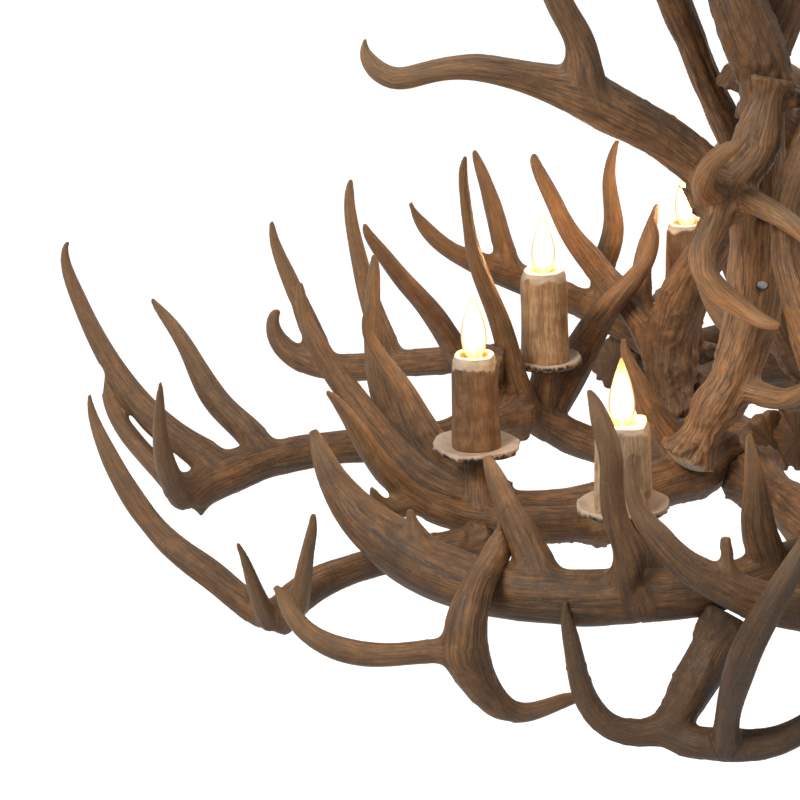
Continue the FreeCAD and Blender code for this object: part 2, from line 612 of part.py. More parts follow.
def add_ring():
    ring = doc.addObject("Part::Torus", "hanging_ring")
    ring.setExpression("Radius1", s("{ring_radius}"))
    ring.setExpression("Radius2", s("{ring_wire}"))
    ring.Placement = FreeCAD.Placement(DOWN + UP * RING_CENTRE,
                                       FreeCAD.Rotation(Vec(0, 1, 0), QUARTER))
    keep(ring, "hanging_ring")


def add_pins():
    pieces = []
    for side in SIDES:
        for pin in PINS:
            near, far = (FreeCAD.Rotation(UP, TURN[side]).multVec(end) + DOWN
                         for end in pin_ends(pin))
            length = f"{near.distanceToPoint(far):.6f}"
            pieces.append(cylinder(f"pin_{pin[0]}_{pin[2]}_{side}", "{pin_radius}", length,
                                   near, far - near))
    group("joining_pins", pieces)


# ---------------------------------------------------------------- candles
# Shares of the glass's radius and height, up the bulb's outline from the neck to the tip.
FLAME = [(0.78, 0.10), (1.0, 0.30), (0.93, 0.46), (0.68, 0.66), (0.36, 0.84), (0.14, 0.95)]


def bulb_shape():
    """A flame-tip bulb: spline outline of the glass over a plain screw base, turned."""
    radius, height = size("glass_radius"), size("glass_height")
    neck, thread, base = size("glass_neck"), size("lamp_thread"), size("lamp_base")
    curve = Part.BSplineCurve()
    curve.interpolate([Vec(neck, 0, 0)] + [Vec(radius * a, 0, height * b) for a, b in FLAME]
                      + [Vec(0, 0, height)])
    corners = [Vec(0, 0, height), Vec(0, 0, -base), Vec(thread, 0, -base), Vec(thread, 0, 0),
               Vec(neck, 0, 0)]
    edges = [Part.makeLine(a, b) for a, b in zip(corners, corners[1:])]
    outline = Part.Wire([curve.toShape()] + edges)
    return Part.Face(outline).revolve(Vec(), UP, FULL)


def add_candles():
    sockets, nipples, nuts = [], [], []
    for name, (carrier, seat) in SEATS.items():
        dishes = []
        for side in SIDES:
            tag = f"{name}_{side}"
            floor = f"({{dish_thickness}} - {{dish_dip}})"
            hole = "({nipple_radius} + {nipple_gap})"
            dish = turned(f"{tag}_dish", [
                (s(hole), "0"),
                (s(f"{{{name}_dish}} - {{dish_edge}}"), "0"),
                (s(f"{{{name}_dish}}"), s("{dish_edge}")),
                (s(f"{{{name}_dish}} - {{dish_lean}}"), s("{dish_thickness}")),
                (s("{dish_floor} + {dish_slope}"), s("{dish_thickness}")),
                (s("{dish_floor}"), s(floor)),
                (s(hole), s(floor))])
            dishes.append(placed(dish, seat, side))

            root = seat[2] - size("nipple_root")
            length = s(f"{{nipple_root}} + {floor} + {{nut_height}} + {{nipple_rise}}")
            nipple = cut(f"{tag}_nipple",
                         cylinder(f"{tag}_nipple_outside", "{nipple_radius}", length),
                         cylinder(f"{tag}_nipple_inside", "{nipple_bore}", length))
            nipples.append(placed(nipple, (*seat[:2], root), side))

            level = seat[2] + size("dish_thickness") - size("dish_dip")
            nut = cut(f"{tag}_nut", hexagon(f"{tag}_nut_blank", "{nut_radius}", "{nut_height}"),
                      cylinder(f"{tag}_nut_thread", hole, "{nut_height}"))
            nuts.append(placed(nut, (*seat[:2], level), side))

            top = f"({{{name}_height}} - {{nut_height}} - {{socket_recess}})"
            rise = "({nipple_rise} + {nipple_gap})"
            socket = turned(f"{tag}_socket", [
                (s(hole), "0"), (s("{socket_radius}"), "0"), (s("{socket_radius}"), s(top)),
                (s("{socket_well}"), s(top)), (s("{socket_well}"), s(f"{top} - {{well_depth}}")),
                (s("{nipple_bore}"), s(f"{top} - {{well_depth}}")),
                (s("{nipple_bore}"), s(rise)), (s(hole), s(rise))])
            sockets.append(placed(socket, (*seat[:2], level + size("nut_height")), side))

            cone = doc.addObject("Part::Cone", f"{tag}_sleeve_outside")
            cone.setExpression("Radius1", s(f"{{{name}_sleeve}}"))
            cone.setExpression("Radius2", s(f"{{{name}_sleeve}} - {{sleeve_taper}}"))
            cone.setExpression("Height", s(f"{{{name}_height}}"))
            sleeve = cut(f"{tag}_sleeve", cone,
                         cylinder(f"{tag}_sleeve_inside", "{sleeve_bore}", f"{{{name}_height}}"))
            keep(placed(sleeve, (*seat[:2], level), side), f"{name}_candle_sleeve_{side}")

            lamp = doc.addObject("Part::Feature", f"{tag}_lamp")
            lamp.Shape = bulb_shape()
            glass = level + size(f"{name}_height") - size("socket_recess") + size("lamp_gap")
            keep(placed(lamp, (*seat[:2], glass), side), f"{name}_bulb_{side}")
        group(f"{name}_drip_dishes", dishes)
    group("lamp_sockets", sockets)
    group("lamp_nipples", nipples)
    group("nipple_nuts", nuts)


# ---------------------------------------------------------------- build, check and write
add_antlers()
add_stem()
add_bolts()
add_loop()
add_ring()
add_pins()
add_candles()
doc.recompute()

for obj in doc.Objects:
    if "Invalid" in obj.State or "Error" in obj.State:
        raise RuntimeError(f"{obj.Name} did not build")
for obj in parts:
    if obj.Shape.isNull() or not obj.Shape.isValid():
        raise RuntimeError(f"{obj.Label} has no valid shape")

os.makedirs("parts", exist_ok=True)
for obj in parts:
    obj.Shape.exportStep(f"parts/{obj.Label}.step")
print(len(parts), "nodes,", sum(len(obj.Shape.Solids) for obj in parts), "solids")
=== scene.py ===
# %% Load the frame
import math

import bpy
import numpy as np
from mathutils import Matrix, Vector


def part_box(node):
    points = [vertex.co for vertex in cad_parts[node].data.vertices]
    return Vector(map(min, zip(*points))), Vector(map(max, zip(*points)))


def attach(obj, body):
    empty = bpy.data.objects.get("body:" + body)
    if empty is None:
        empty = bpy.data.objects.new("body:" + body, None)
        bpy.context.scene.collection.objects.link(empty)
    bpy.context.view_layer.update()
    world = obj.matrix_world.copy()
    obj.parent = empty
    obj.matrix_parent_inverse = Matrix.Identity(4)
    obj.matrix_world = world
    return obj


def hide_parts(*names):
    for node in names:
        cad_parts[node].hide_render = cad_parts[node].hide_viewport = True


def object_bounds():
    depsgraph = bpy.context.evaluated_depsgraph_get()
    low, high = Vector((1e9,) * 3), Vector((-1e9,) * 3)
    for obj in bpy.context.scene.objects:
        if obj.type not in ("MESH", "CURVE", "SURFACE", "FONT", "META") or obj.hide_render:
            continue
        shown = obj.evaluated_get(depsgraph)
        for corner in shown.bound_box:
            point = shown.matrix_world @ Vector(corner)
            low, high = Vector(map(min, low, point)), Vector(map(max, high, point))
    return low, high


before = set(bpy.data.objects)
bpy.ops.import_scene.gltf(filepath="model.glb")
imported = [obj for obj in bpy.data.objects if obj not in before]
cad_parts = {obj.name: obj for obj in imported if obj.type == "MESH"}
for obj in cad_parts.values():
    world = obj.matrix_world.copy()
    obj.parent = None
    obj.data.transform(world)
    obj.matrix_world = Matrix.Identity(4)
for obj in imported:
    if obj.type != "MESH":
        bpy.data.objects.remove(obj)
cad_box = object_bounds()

print("CAD nodes:", len(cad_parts), "box:", cad_box)

# %% [markdown]
# This is an antler chandelier: thirty shed antlers, coped and pinned to each other and hung from a
# pipe with a ring. Eight tines are sawn level and carry an antler slice, a bored piece of
# antler beam and a flame-tip bulb. Every length in this file is in metres unless its name says
# otherwise, and the origin is the seat inside the top of the hanging ring.

# %% Lengths and places that many pieces share
MM = 0.001
FRONT_SEAT_HEIGHT = -33 * MM          # seat of the front candles, from the candle level
CANDLE_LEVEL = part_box("front_drip_dishes")[0][2] - FRONT_SEAT_HEIGHT
PLACES = ("front", "side", "back", "rear")
SIDES = ("left", "right")
print("candle level:", round(CANDLE_LEVEL, 4))

# %% [markdown]
# The camera stands where the photograph was taken from: 4.5 m from the stem, 18 degrees above the
# candles, and turned so that the stem falls near the right-hand edge of the picture. The
# picture's frame is 800 pixels square, so a pixel distance becomes an angle through the
# focal length in pixels. A matrix made of the three camera directions is clearer than
# three turns, and it can't be applied in the wrong order.

# %% Camera
PICTURE = 800                         # pixels along each side
STEM_PIXEL = 762                      # where the stem stands in the picture, from the left
FOCAL_PIXELS = 3543
SENSOR_MM = 36.0
CAMERA_DISTANCE = 4.5
CAMERA_RISE = math.radians(18)


def add_camera():
    turn = math.atan((STEM_PIXEL - PICTURE / 2) / FOCAL_PIXELS)
    to_stem = Vector((0, math.cos(CAMERA_RISE), -math.sin(CAMERA_RISE)))
    across = Vector((1, 0, 0))
    ahead = to_stem * math.cos(turn) - across * math.sin(turn)
    right = across * math.cos(turn) + to_stem * math.sin(turn)
    up = right.cross(ahead)
    bpy.ops.object.camera_add()
    camera = bpy.context.object
    camera.name = "photo_camera"
    camera.data.sensor_width = SENSOR_MM
    camera.data.lens = FOCAL_PIXELS / PICTURE * SENSOR_MM
    camera.data.clip_end = 100
    pose = Matrix((right, up, -ahead)).transposed().to_4x4()
    pose.translation = Vector((0, 0, CANDLE_LEVEL)) - to_stem * CAMERA_DISTANCE
    camera.matrix_world = pose
    bpy.context.scene.camera = camera


add_camera()
print("lens:", round(bpy.context.scene.camera.data.lens, 1), "mm")

# %% [markdown]
# Shader maths reads best as plain arithmetic. `Port` wraps the socket of a node and overloads
# the operators, so `1 - mask * 2` adds the Math nodes for it. `Paint` is one material:
# its `node` method adds any node, sets its settings first and then its sockets.

# %% Shader helpers
class Port:
    """An output socket that Python's operators work on."""

    def __init__(self, paint, socket):
        self.paint = paint
        self.socket = socket

    def maths(self, operation, *values):
        sockets = dict(enumerate(values))
        return self.paint.node("ShaderNodeMath", {"operation": operation}, sockets)

    def __add__(self, other):
        return self.maths("ADD", self, other)

    def __radd__(self, other):
        return self.maths("ADD", other, self)

    def __sub__(self, other):
        return self.maths("SUBTRACT", self, other)

    def __rsub__(self, other):
        return self.maths("SUBTRACT", other, self)

    def __mul__(self, other):
        return self.maths("MULTIPLY", self, other)

    def __rmul__(self, other):
        return self.maths("MULTIPLY", other, self)

    def __truediv__(self, other):
        return self.maths("DIVIDE", self, other)

    def ease(self, low, high):
        """0 below low, 1 above high and a smooth rise between them."""
        sockets = {"Value": self, "From Min": low, "From Max": high}
        return self.paint.node("ShaderNodeMapRange", {"interpolation_type": "SMOOTHSTEP"}, sockets)


class Paint:
    """A material and the nodes that make it."""

    def __init__(self, name):
        self.material = bpy.data.materials.new(name)
        self.material.use_nodes = True
        self.tree = self.material.node_tree
        self.tree.nodes.clear()
        self.output = self.tree.nodes.new("ShaderNodeOutputMaterial")

    def node(self, kind, settings=None, sockets=None, out=0):
        made = self.tree.nodes.new(kind)
        for name, value in (settings or {}).items():
            setattr(made, name, value)
        for name, value in (sockets or {}).items():
            if isinstance(value, Port):
                self.tree.links.new(value.socket, made.inputs[name])
            else:
                made.inputs[name].default_value = value
        return Port(self, made.outputs[out])

    def attribute(self, name, out="Fac"):
        return self.node("ShaderNodeAttribute", {"attribute_name": name}, out=out)

    def place(self):
        return self.node("ShaderNodeTexCoord", out="Object")

    def stretched(self, vector, scale):
        """The vector with its X, Y and Z each multiplied."""
        settings = {"operation": "MULTIPLY"}
        return self.node("ShaderNodeVectorMath", settings, {0: vector, 1: scale})

    def noise(self, vector, scale, detail=3.0, roughness=0.55):
        sockets = {"Vector": vector, "Scale": scale, "Detail": detail, "Roughness": roughness}
        return self.node("ShaderNodeTexNoise", None, sockets)

    def mix(self, share, first, second):
        """From the first colour to the second."""
        colours = [c if isinstance(c, Port) else (*c, 1) for c in (first, second)]
        settings = {"data_type": "RGBA"}
        return self.node("ShaderNodeMix", settings, {0: share, 6: colours[0], 7: colours[1]}, 2)

    def layered(self, colour, *layers):
        """The colour with each layer's colour laid over it by that layer's share."""
        for share, over in layers:
            colour = self.mix(share, colour, over)
        return colour

    def bump(self, height, depth, strength):
        sockets = {"Height": height, "Distance": depth, "Strength": strength}
        return self.node("ShaderNodeBump", None, sockets)

    def finish(self, colour, roughness, **others):
        """Puts the finish on the material's output, through one Principled shader."""
        if not isinstance(colour, Port):
            colour = (*colour, 1)
        sockets = {"Base Color": colour, "Roughness": roughness}
        sockets.update({name.replace("_", " "): value for name, value in others.items()})
        shader = self.node("ShaderNodeBsdfPrincipled", None, sockets)
        self.tree.links.new(shader.socket, self.output.inputs["Surface"])
        return self.material


# %% [markdown]
# The background of the photograph is plain white. A floor well below the chandelier throws a
# little light back up, and only what the camera, a reflection or a clear glass sees of the floor
# and the world is lifted to white, so the object isn't lit harder for it. A broad warm lamp
# high at the front left and a weaker one at the back right give the round tines their shape.

# %% Stage: floor, world and lamps
FLOOR_DROP = 0.75                     # from the lowest tine to the floor
FLOOR_SIZE = 80
WORLD_STRENGTH = 0.17
FLOOR_TONE = (0.42, 0.42, 0.42)       # how much light the floor throws back up
FLOOR_ROUGHNESS = 0.9
FLOOR_LIFT = 1.0
WHITE, BLACK = (1.0, 1.0, 1.0), (0, 0, 0)
LAMP_WARM = (1.0, 0.89, 0.76)
# Each lamp's place, size and watts.
LAMPS = {"key_lamp": ((-2.2, -2.6, 2.6), 1.6, 165), "back_lamp": ((2.0, 2.8, 2.2), 2.0, 45)}


def seen_directly(paint):
    """1 for rays from the camera, and those that mirrors and glass pass on, and 0 for light."""
    rays = [paint.node("ShaderNodeLightPath", out=kind)
            for kind in ("Is Camera Ray", "Is Glossy Ray", "Is Transmission Ray")]
    return rays[0].maths("MAXIMUM", rays[0], rays[1].maths("MAXIMUM", rays[1], rays[2]))


def add_floor():
    bpy.ops.mesh.primitive_plane_add(size=FLOOR_SIZE, location=(0, 0, cad_box[0][2] - FLOOR_DROP))
    floor = bpy.context.object
    floor.name = "studio_floor"
    paint = Paint("studio_white")
    seen = seen_directly(paint)
    finish = paint.finish(FLOOR_TONE, FLOOR_ROUGHNESS, Specular_IOR_Level=0.0,
                          Emission_Color=paint.mix(seen, BLACK, WHITE),
                          Emission_Strength=FLOOR_LIFT)
    floor.data.materials.append(finish)


def add_world():
    world = bpy.data.worlds.new("studio_world")
    bpy.context.scene.world = world
    world.use_nodes = True
    paint = Paint.__new__(Paint)
    paint.tree = world.node_tree
    paint.tree.nodes.clear()
    output = paint.tree.nodes.new("ShaderNodeOutputWorld")
    seen = seen_directly(paint)
    strength = WORLD_STRENGTH + seen * (1 - WORLD_STRENGTH)
    glow = paint.node("ShaderNodeBackground", None, {"Color": (*WHITE, 1), "Strength": strength})
    paint.tree.links.new(glow.socket, output.inputs["Surface"])


def add_area_lamp(name, place, size, watts):
    bpy.ops.object.light_add(type="AREA", location=place)
    lamp = bpy.context.object
    lamp.name = name
    lamp.data.size = size
    lamp.data.energy = watts
    lamp.data.color = LAMP_WARM
    target = Vector((0, 0, CANDLE_LEVEL))
    lamp.rotation_euler = (target - lamp.location).to_track_quat("-Z", "Y").to_euler()


add_floor()
add_world()
for name, settings in LAMPS.items():
    add_area_lamp(name, *settings)
bpy.context.scene.view_settings.view_transform = "Standard"
print("stage is set")

# %% [markdown]
# Each antler was drawn as branches: a branch runs from its root to its tip through points of x,
# y, z and radius, here in millimetres from the stem's axis and the candle level, with the
# beam first. The CAD solids follow these routes, and the looks need them again: grooves run
# along a beam, a burr sits at its root, and tips are worn smooth.

# %% Routes of the left antlers
FRONT_RIM = [
    [(110, -285, -76, 29), (45, -360, -80, 27), (-2, -400, -83, 26), (-55, -425, -92, 28),
     (-113, -440, -94, 31), (-200, -450, -94, 33), (-270, -440, -95, 33),
     (-330, -420, -91, 33), (-380, -400, -80, 35), (-428, -370, -63, 34),
     (-470, -340, -40, 28), (-508, -310, -2, 19), (-526, -290, 29, 12), (-536, -280, 53, 5)],
    [(-397, -390, -61, 26), (-407, -385, -36, 14), (-412, -380, -11, 4)],
    [(-250, -440, -92, 30), (-264, -420, -60, 24), (-288, -370, -31, 18),
     (-312, -310, -6, 13), (-329, -260, 11, 6)],
    [(-142, -450, -97, 30), (-153, -458, -52, 22), (-164, -455, -4, 16),
     (-171, -450, 37, 14.5), (-172, -442, 77, 14), (-182, -430, 110, 12.5),
     (-191, -420, 134, 8), (-199, -415, 147, 3.5)],
    [(-110, -430, -100, 27), (-124, -405, -78, 19), (-144, -362, -60, 16.5),
     (-160, -338, -46, 17), (-163, -335, -18, 17)],
    [(30, -372, -88, 25), (7, -400, -60, 23), (-5, -410, -14, 20), (-8, -410, 35, 13),
     (-13, -405, 71, 7), (-14, -402, 91, 3)],
]
FRONT_CROSS = [
    [(205, -440, -85, 31), (188, -472, -98, 28), (136, -500, -94, 26), (78, -515, -86, 25),
     (21, -525, -74, 25), (-19, -528, -61, 24), (-50, -528, -45, 22), (-82, -525, -28, 19),
     (-108, -520, -4, 16), (-130, -510, 20, 13), (-143, -500, 43, 10), (-149, -490, 70, 7),
     (-146, -482, 94, 3)],
    [(-31, -530, -54, 16), (-38, -528, -24, 10), (-41, -520, 7, 6)],
    [(136, -500, -90, 22), (126, -505, -52, 16), (114, -510, -2, 12.5), (109, -512, 47, 9),
     (111, -512, 89, 3.5)],
]
FRONT_LOW = [
    [(-295, -330, -45, 13), (-304, -380, -53, 15), (-315, -440, -60, 17),
     (-328, -487, -74, 20), (-337, -508, -103, 24), (-339, -514, -135, 28),
     (-324, -508, -177, 22), (-301, -502, -209, 18), (-275, -492, -221, 12),
     (-245, -478, -218, 10), (-219, -462, -215, 7.5), (-199, -450, -211, 3.5)],
    [(-345, -512, -136, 22), (-370, -514, -136, 16), (-418, -516, -140, 14),
     (-460, -516, -139, 15), (-496, -512, -130, 14), (-525, -505, -114, 12),
     (-546, -495, -88, 9), (-560, -490, -67, 3.5)],
    [(-304, -508, -207, 14), (-309, -514, -187, 7.5), (-306, -514, -166, 2.5)],
]
BOTTOM = [
    [(-36, -446, -118, 30), (-64, -470, -165, 27), (-88, -488, -205, 24),
     (-109, -497, -234, 20), (-142, -502, -241, 16), (-176, -503, -232, 15.5),
     (-197, -500, -209, 14), (-209, -497, -179, 12.5), (-216, -492, -144, 11),
     (-223, -486, -109, 8), (-224, -482, -83, 3)],
    [(-112, -500, -238, 17), (-72, -512, -248, 19), (-28, -520, -247, 20),
     (18, -520, -241, 18.5), (65, -508, -218, 15.5), (103, -496, -181, 12),
     (121, -489, -149, 8), (130, -485, -125, 3)],
    [(-39, -522, -246, 19), (-37, -550, -186, 15.5), (-26, -568, -137, 17.5),
     (-10, -581, -90, 18), (16, -580, -40, 16), (43, -564, 5, 11), (60, -552, 44, 3.5)],
]
SIDE_ARM = [
    [(-326, 172, -79, 28), (-362, 100, -66, 25), (-405, 40, -64, 24), (-466, 30, -68, 22),
     (-533, 15, -68, 22), (-580, 0, -70, 22), (-630, -20, -74, 25), (-673, -40, -82, 28),
     (-706, -62, -93, 27), (-725, -82, -106, 22)],
    [(-697, -45, -78, 26), (-747, -25, -43, 20), (-797, 0, -5, 18), (-830, 20, 34, 15),
     (-861, 38, 85, 12), (-882, 50, 132, 10), (-893, 56, 167, 7), (-890, 60, 195, 3)],
    [(-640, -15, -66, 24), (-676, 15, -32, 18), (-707, 35, -5, 16.5), (-733, 55, 35, 13),
     (-760, 72, 76, 9), (-789, 85, 111, 3)],
    [(-727, -82, -106, 20), (-742, -112, -66, 15.5), (-747, -128, -26, 12),
     (-747, -138, 12, 9), (-744, -144, 47, 6), (-741, -148, 72, 2.5)],
    [(-728, -68, -100, 20), (-757, -48, -87, 16.5), (-783, -28, -69, 14),
     (-808, -12, -46, 13), (-831, 2, -14, 11), (-844, 14, 25, 4)],
    [(-709, -70, -110, 14), (-712, -80, -134, 3)],
]
SIDE_LOW = [
    [(-335, -228, -104, 22), (-368, -240, -108, 20), (-404, -252, -110, 19),
     (-439, -270, -111, 19), (-482, -290, -117, 18), (-524, -308, -128, 20),
     (-553, -320, -143, 21), (-575, -330, -163, 23), (-586, -335, -182, 20)],
    [(-592, -332, -167, 20), (-639, -320, -138, 18), (-679, -305, -112, 18),
     (-717, -290, -87, 16), (-751, -275, -52, 14.5), (-779, -260, -11, 13),
     (-801, -245, 31, 9), (-811, -238, 58, 6), (-815, -232, 83, 3)],
    [(-587, -342, -172, 17), (-597, -360, -139, 12), (-604, -370, -107, 9),
     (-610, -378, -78, 6), (-618, -384, -53, 3)],
    [(-569, -340, -168, 17), (-551, -355, -135, 13), (-543, -362, -101, 10.5),
     (-535, -368, -64, 8), (-529, -372, -38, 6), (-527, -374, -19, 3)],
]
BACK_SIDE = [
    [(-336, 180, -8, 23), (-374, 190, -3, 20), (-414, 197, -8, 18.5), (-455, 205, -14, 18.5),
     (-503, 212, -20, 18.5), (-552, 222, -26, 18.5), (-593, 232, -25, 19.5),
     (-621, 240, -17, 17.5), (-640, 244, -5, 15), (-652, 247, 12, 12), (-655, 250, 29, 9),
     (-646, 252, 46, 3)],
    [(-588, 232, -20, 19), (-604, 245, 21, 15.5), (-620, 256, 58, 12.5),
     (-636, 266, 94, 10.5), (-650, 275, 129, 7.5), (-655, 282, 161, 3.5)],
    [(-490, 212, -18, 19), (-507, 225, 25, 16), (-522, 240, 62, 14), (-534, 255, 106, 12),
     (-543, 268, 144, 10), (-549, 280, 183, 8), (-547, 290, 216, 3.5)],
]
BACK_ARM = [
    [(14, 58, -80, 36), (-58, 165, -104, 37), (-110, 200, -133, 32), (-164, 218, -144, 27),
     (-218, 226, -139, 24), (-259, 228, -124, 24), (-298, 224, -101, 23),
     (-341, 205, -74, 20), (-364, 185, -43, 19), (-384, 165, -6, 18), (-402, 150, 26, 17),
     (-419, 130, 63, 15.5), (-437, 110, 97, 14), (-460, 90, 133, 12), (-482, 72, 171, 10),
     (-497, 56, 200, 7.5), (-503, 48, 220, 3)],
    [(-310, 218, -94, 22), (-326, 190, -28, 17), (-336, 186, 18, 15), (-347, 184, 57, 14),
     (-360, 182, 95, 12.5), (-373, 180, 135, 11), (-381, 174, 184, 8.5),
     (-385, 168, 232, 7), (-381, 160, 280, 3)],
    [(-288, 230, -108, 25), (-276, 274, -80, 26), (-244, 320, -32, 24), (-220, 326, 8, 20),
     (-196, 314, 42, 16.5), (-170, 320, 70, 13.5), (-151, 330, 98, 10),
     (-145, 334, 125, 7.5), (-149, 338, 149, 4)],
    [(-292, 225, -112, 23), (-295, 240, -75, 21), (-289, 250, -46, 20),
     (-289, 250, -18, 20)],
]
BACK_RIM = [
    [(-57, 388, -86, 34), (-121, 425, -68, 30), (-170, 440, -43, 26.5), (-219, 446, -17, 24),
     (-261, 446, 3, 21), (-316, 440, 27, 21), (-356, 430, 45, 19.5), (-393, 420, 63, 16.5),
     (-423, 410, 81, 13), (-449, 402, 105, 11.5), (-469, 394, 134, 7.5), (-478, 388, 158, 3.5)],
    [(-346, 434, 42, 19), (-355, 436, 80, 15), (-364, 440, 116, 13), (-374, 444, 154, 11.5),
     (-385, 447, 188, 9), (-394, 449, 216, 3.5)],
    [(-230, 446, -8, 21), (-220, 452, 40, 17.5), (-210, 455, 74, 16.5), (-204, 457, 107, 15),
     (-207, 458, 142, 12.5), (-209, 458, 178, 9), (-204, 458, 207, 6), (-197, 458, 226, 3)],
    [(-100, 416, -78, 26), (-101, 398, -42, 21), (-102, 386, -10, 20),
     (-102, 385, 26, 20)],
]
TALL_BACK = [
    [(-114, 236, -108, 35), (-122, 266, -48, 35), (-120, 278, -2, 34.5), (-107, 275, 48, 33),
     (-83, 262, 103, 29), (-56, 235, 163, 25), (-35, 195, 226, 22), (-31, 150, 284, 21.5),
     (-46, 118, 333, 20), (-68, 88, 392, 19.5), (-88, 60, 453, 20), (-109, 38, 510, 20),
     (-128, 20, 561, 18), (-147, 5, 618, 14.5), (-160, -8, 677, 10.5), (-167, -16, 723, 3.5)],
    [(-130, 280, -22, 27), (-158, 320, 3, 24), (-186, 360, 28, 20.5), (-214, 380, 52, 18),
     (-239, 386, 83, 17), (-262, 386, 117, 14.5), (-280, 386, 155, 11.5),
     (-296, 385, 190, 9.5), (-308, 383, 226, 4)],
    [(-156, 318, 1, 21), (-161, 347, 27, 15.5), (-163, 370, 56, 13), (-158, 386, 91, 11),
     (-149, 394, 125, 8), (-142, 399, 152, 3.5)],
]
INNER_ARM = [
    [(-45, -30, -62, 34), (-72, -60, -68, 33), (-122, -100, -76, 30), (-190, -130, -89, 26),
     (-252, -142, -96, 25), (-325, -148, -91, 23), (-375, -145, -80, 22),
     (-420, -130, -60, 21), (-454, -112, -34, 20), (-481, -98, -5, 18.5),
     (-508, -84, 27, 17), (-533, -70, 57, 15.5), (-554, -60, 89, 14), (-569, -52, 120, 10.5),
     (-575, -47, 147, 7.5), (-577, -44, 170, 3)],
    [(-87, -72, -62, 28), (-125, -76, -9, 20), (-147, -72, 29, 15), (-163, -66, 66, 9.5),
     (-170, -62, 86, 6), (-171, -60, 101, 3)],
    [(-330, -140, -86, 21), (-360, -104, -64, 21), (-392, -85, -49, 21),
     (-415, -75, -28, 20.5), (-433, -62, -3, 18), (-447, -50, 23, 15), (-461, -42, 45, 12.5),
     (-477, -35, 67, 10), (-492, -30, 92, 8), (-497, -28, 115, 5.5), (-492, -26, 135, 2.5)],
    [(-400, -82, -46, 19), (-440, -50, -44, 17.5), (-465, -28, -24, 16.5), (-480, -12, 4, 16),
     (-489, 3, 39, 14.5), (-493, 18, 81, 12.5), (-494, 30, 124, 10), (-492, 38, 155, 8),
     (-492, 44, 181, 2.5)],
]
INNER_FRONT = [
    [(-191, -172, -102, 27), (-252, -197, -97, 22), (-322, -197, -94, 21),
     (-364, -194, -88, 19.5), (-408, -194, -73, 18.5), (-441, -200, -47, 16.5),
     (-463, -206, -19, 15), (-480, -211, 10, 13.5), (-497, -216, 43, 11), (-513, -220, 69, 7),
     (-525, -223, 84, 3)],
    [(-428, -198, -64, 15), (-452, -218, -68, 12), (-466, -226, -55, 8.5),
     (-472, -230, -35, 3.5)],
    [(-345, -194, -90, 18), (-348, -172, -60, 17.5), (-350, -159, -34, 17),
     (-350, -158, -4, 17)],
]
COLUMN = [
    [(-92, -116, -40, 31), (-62, -102, 14, 29), (-39, -92, 48, 29.5), (-24, -80, 88, 32),
     (-12, -68, 129, 34), (-6, -58, 172, 36), (-4, -52, 221, 37), (-3, -49, 271, 34.5),
     (3, -42, 335, 25), (8, -38, 385, 20)],
    [(-38, -80, 52, 21), (-6, -110, 46, 16), (28, -135, 46, 13.5), (61, -158, 71, 10),
     (83, -172, 105, 3.5)],
]
TOP_ARM = [
    [(12, -92, 437, 18), (2, -98, 394, 23), (-11, -110, 350, 29), (-40, -116, 318, 31),
     (-84, -124, 345, 28), (-128, -145, 385, 27), (-170, -168, 414, 30), (-204, -182, 437, 31),
     (-251, -195, 456, 23.5), (-291, -203, 469, 19), (-332, -208, 478, 16.5),
     (-367, -210, 478, 14.5), (-403, -210, 471, 14), (-430, -208, 467, 13.5),
     (-452, -205, 477, 12), (-465, -202, 495, 8), (-465, -199, 513, 3)],
    [(-198, -182, 440, 28), (-211, -200, 498, 20), (-225, -212, 537, 17),
     (-236, -220, 562, 16.5), (-248, -232, 612, 14.5), (-255, -244, 672, 11.5),
     (-256, -252, 731, 7.5), (-252, -256, 777, 3)],
    [(-36, -118, 318, 27), (-54, -150, 279, 22), (-70, -178, 245, 16), (-66, -192, 218, 15.5),
     (-48, -200, 199, 14.5), (-20, -210, 180, 12), (4, -224, 170, 9), (22, -238, 171, 3)],
    [(-48, -136, 298, 20), (-69, -170, 331, 14.5), (-56, -190, 360, 12.5),
     (-36, -206, 379, 8.5), (-17, -218, 394, 2.5)],
    [(-32, -120, 306, 22), (0, -166, 297, 14.5), (34, -206, 286, 12), (60, -217, 264, 9.5),
     (77, -220, 231, 3.5)],
]
CROWN = [
    [(15, -56, 389, 37), (-2, -54, 448, 35), (-26, -50, 508, 34), (-47, -42, 565, 31),
     (-68, -32, 622, 28), (-82, -20, 681, 23), (-87, -8, 739, 17), (-80, 2, 792, 10),
     (-70, 8, 827, 3)],
    [(-44, -44, 556, 28), (-84, -72, 560, 16.5), (-118, -96, 572, 13.5), (-146, -112, 600, 11),
     (-162, -124, 645, 7.5), (-166, -130, 684, 3)],
    [(-74, -28, 644, 24), (-42, -44, 686, 15), (-22, -58, 734, 12), (-16, -66, 782, 8.5),
     (-18, -70, 818, 3)],
]
ANTLERS = {
    "front_rim": FRONT_RIM, "front_cross": FRONT_CROSS, "front_low": FRONT_LOW,
    "bottom": BOTTOM, "side_arm": SIDE_ARM, "side_low": SIDE_LOW, "back_side": BACK_SIDE,
    "back_arm": BACK_ARM, "back_rim": BACK_RIM, "tall_back": TALL_BACK,
    "inner_arm": INNER_ARM, "inner_front": INNER_FRONT, "column": COLUMN,
    "top_arm": TOP_ARM, "crown": CROWN,
}
for branches in ANTLERS.values():
    for branch in branches:
        branch[:] = [(x * MM, y * MM, z * MM + CANDLE_LEVEL, r * MM) for x, y, z, r in branch]
print("antlers:", len(ANTLERS), "branches:", sum(len(b) for b in ANTLERS.values()))

# %% [markdown]
# Bark-like grooves, pearls and lumps all come from the same thing: a number that changes smoothly
# and at random through space. Blender's textures have one, but a shape that follows a bent
# beam needs it in the beam's own coordinates, so here is a small lattice noise that takes
# a whole array of points at once.

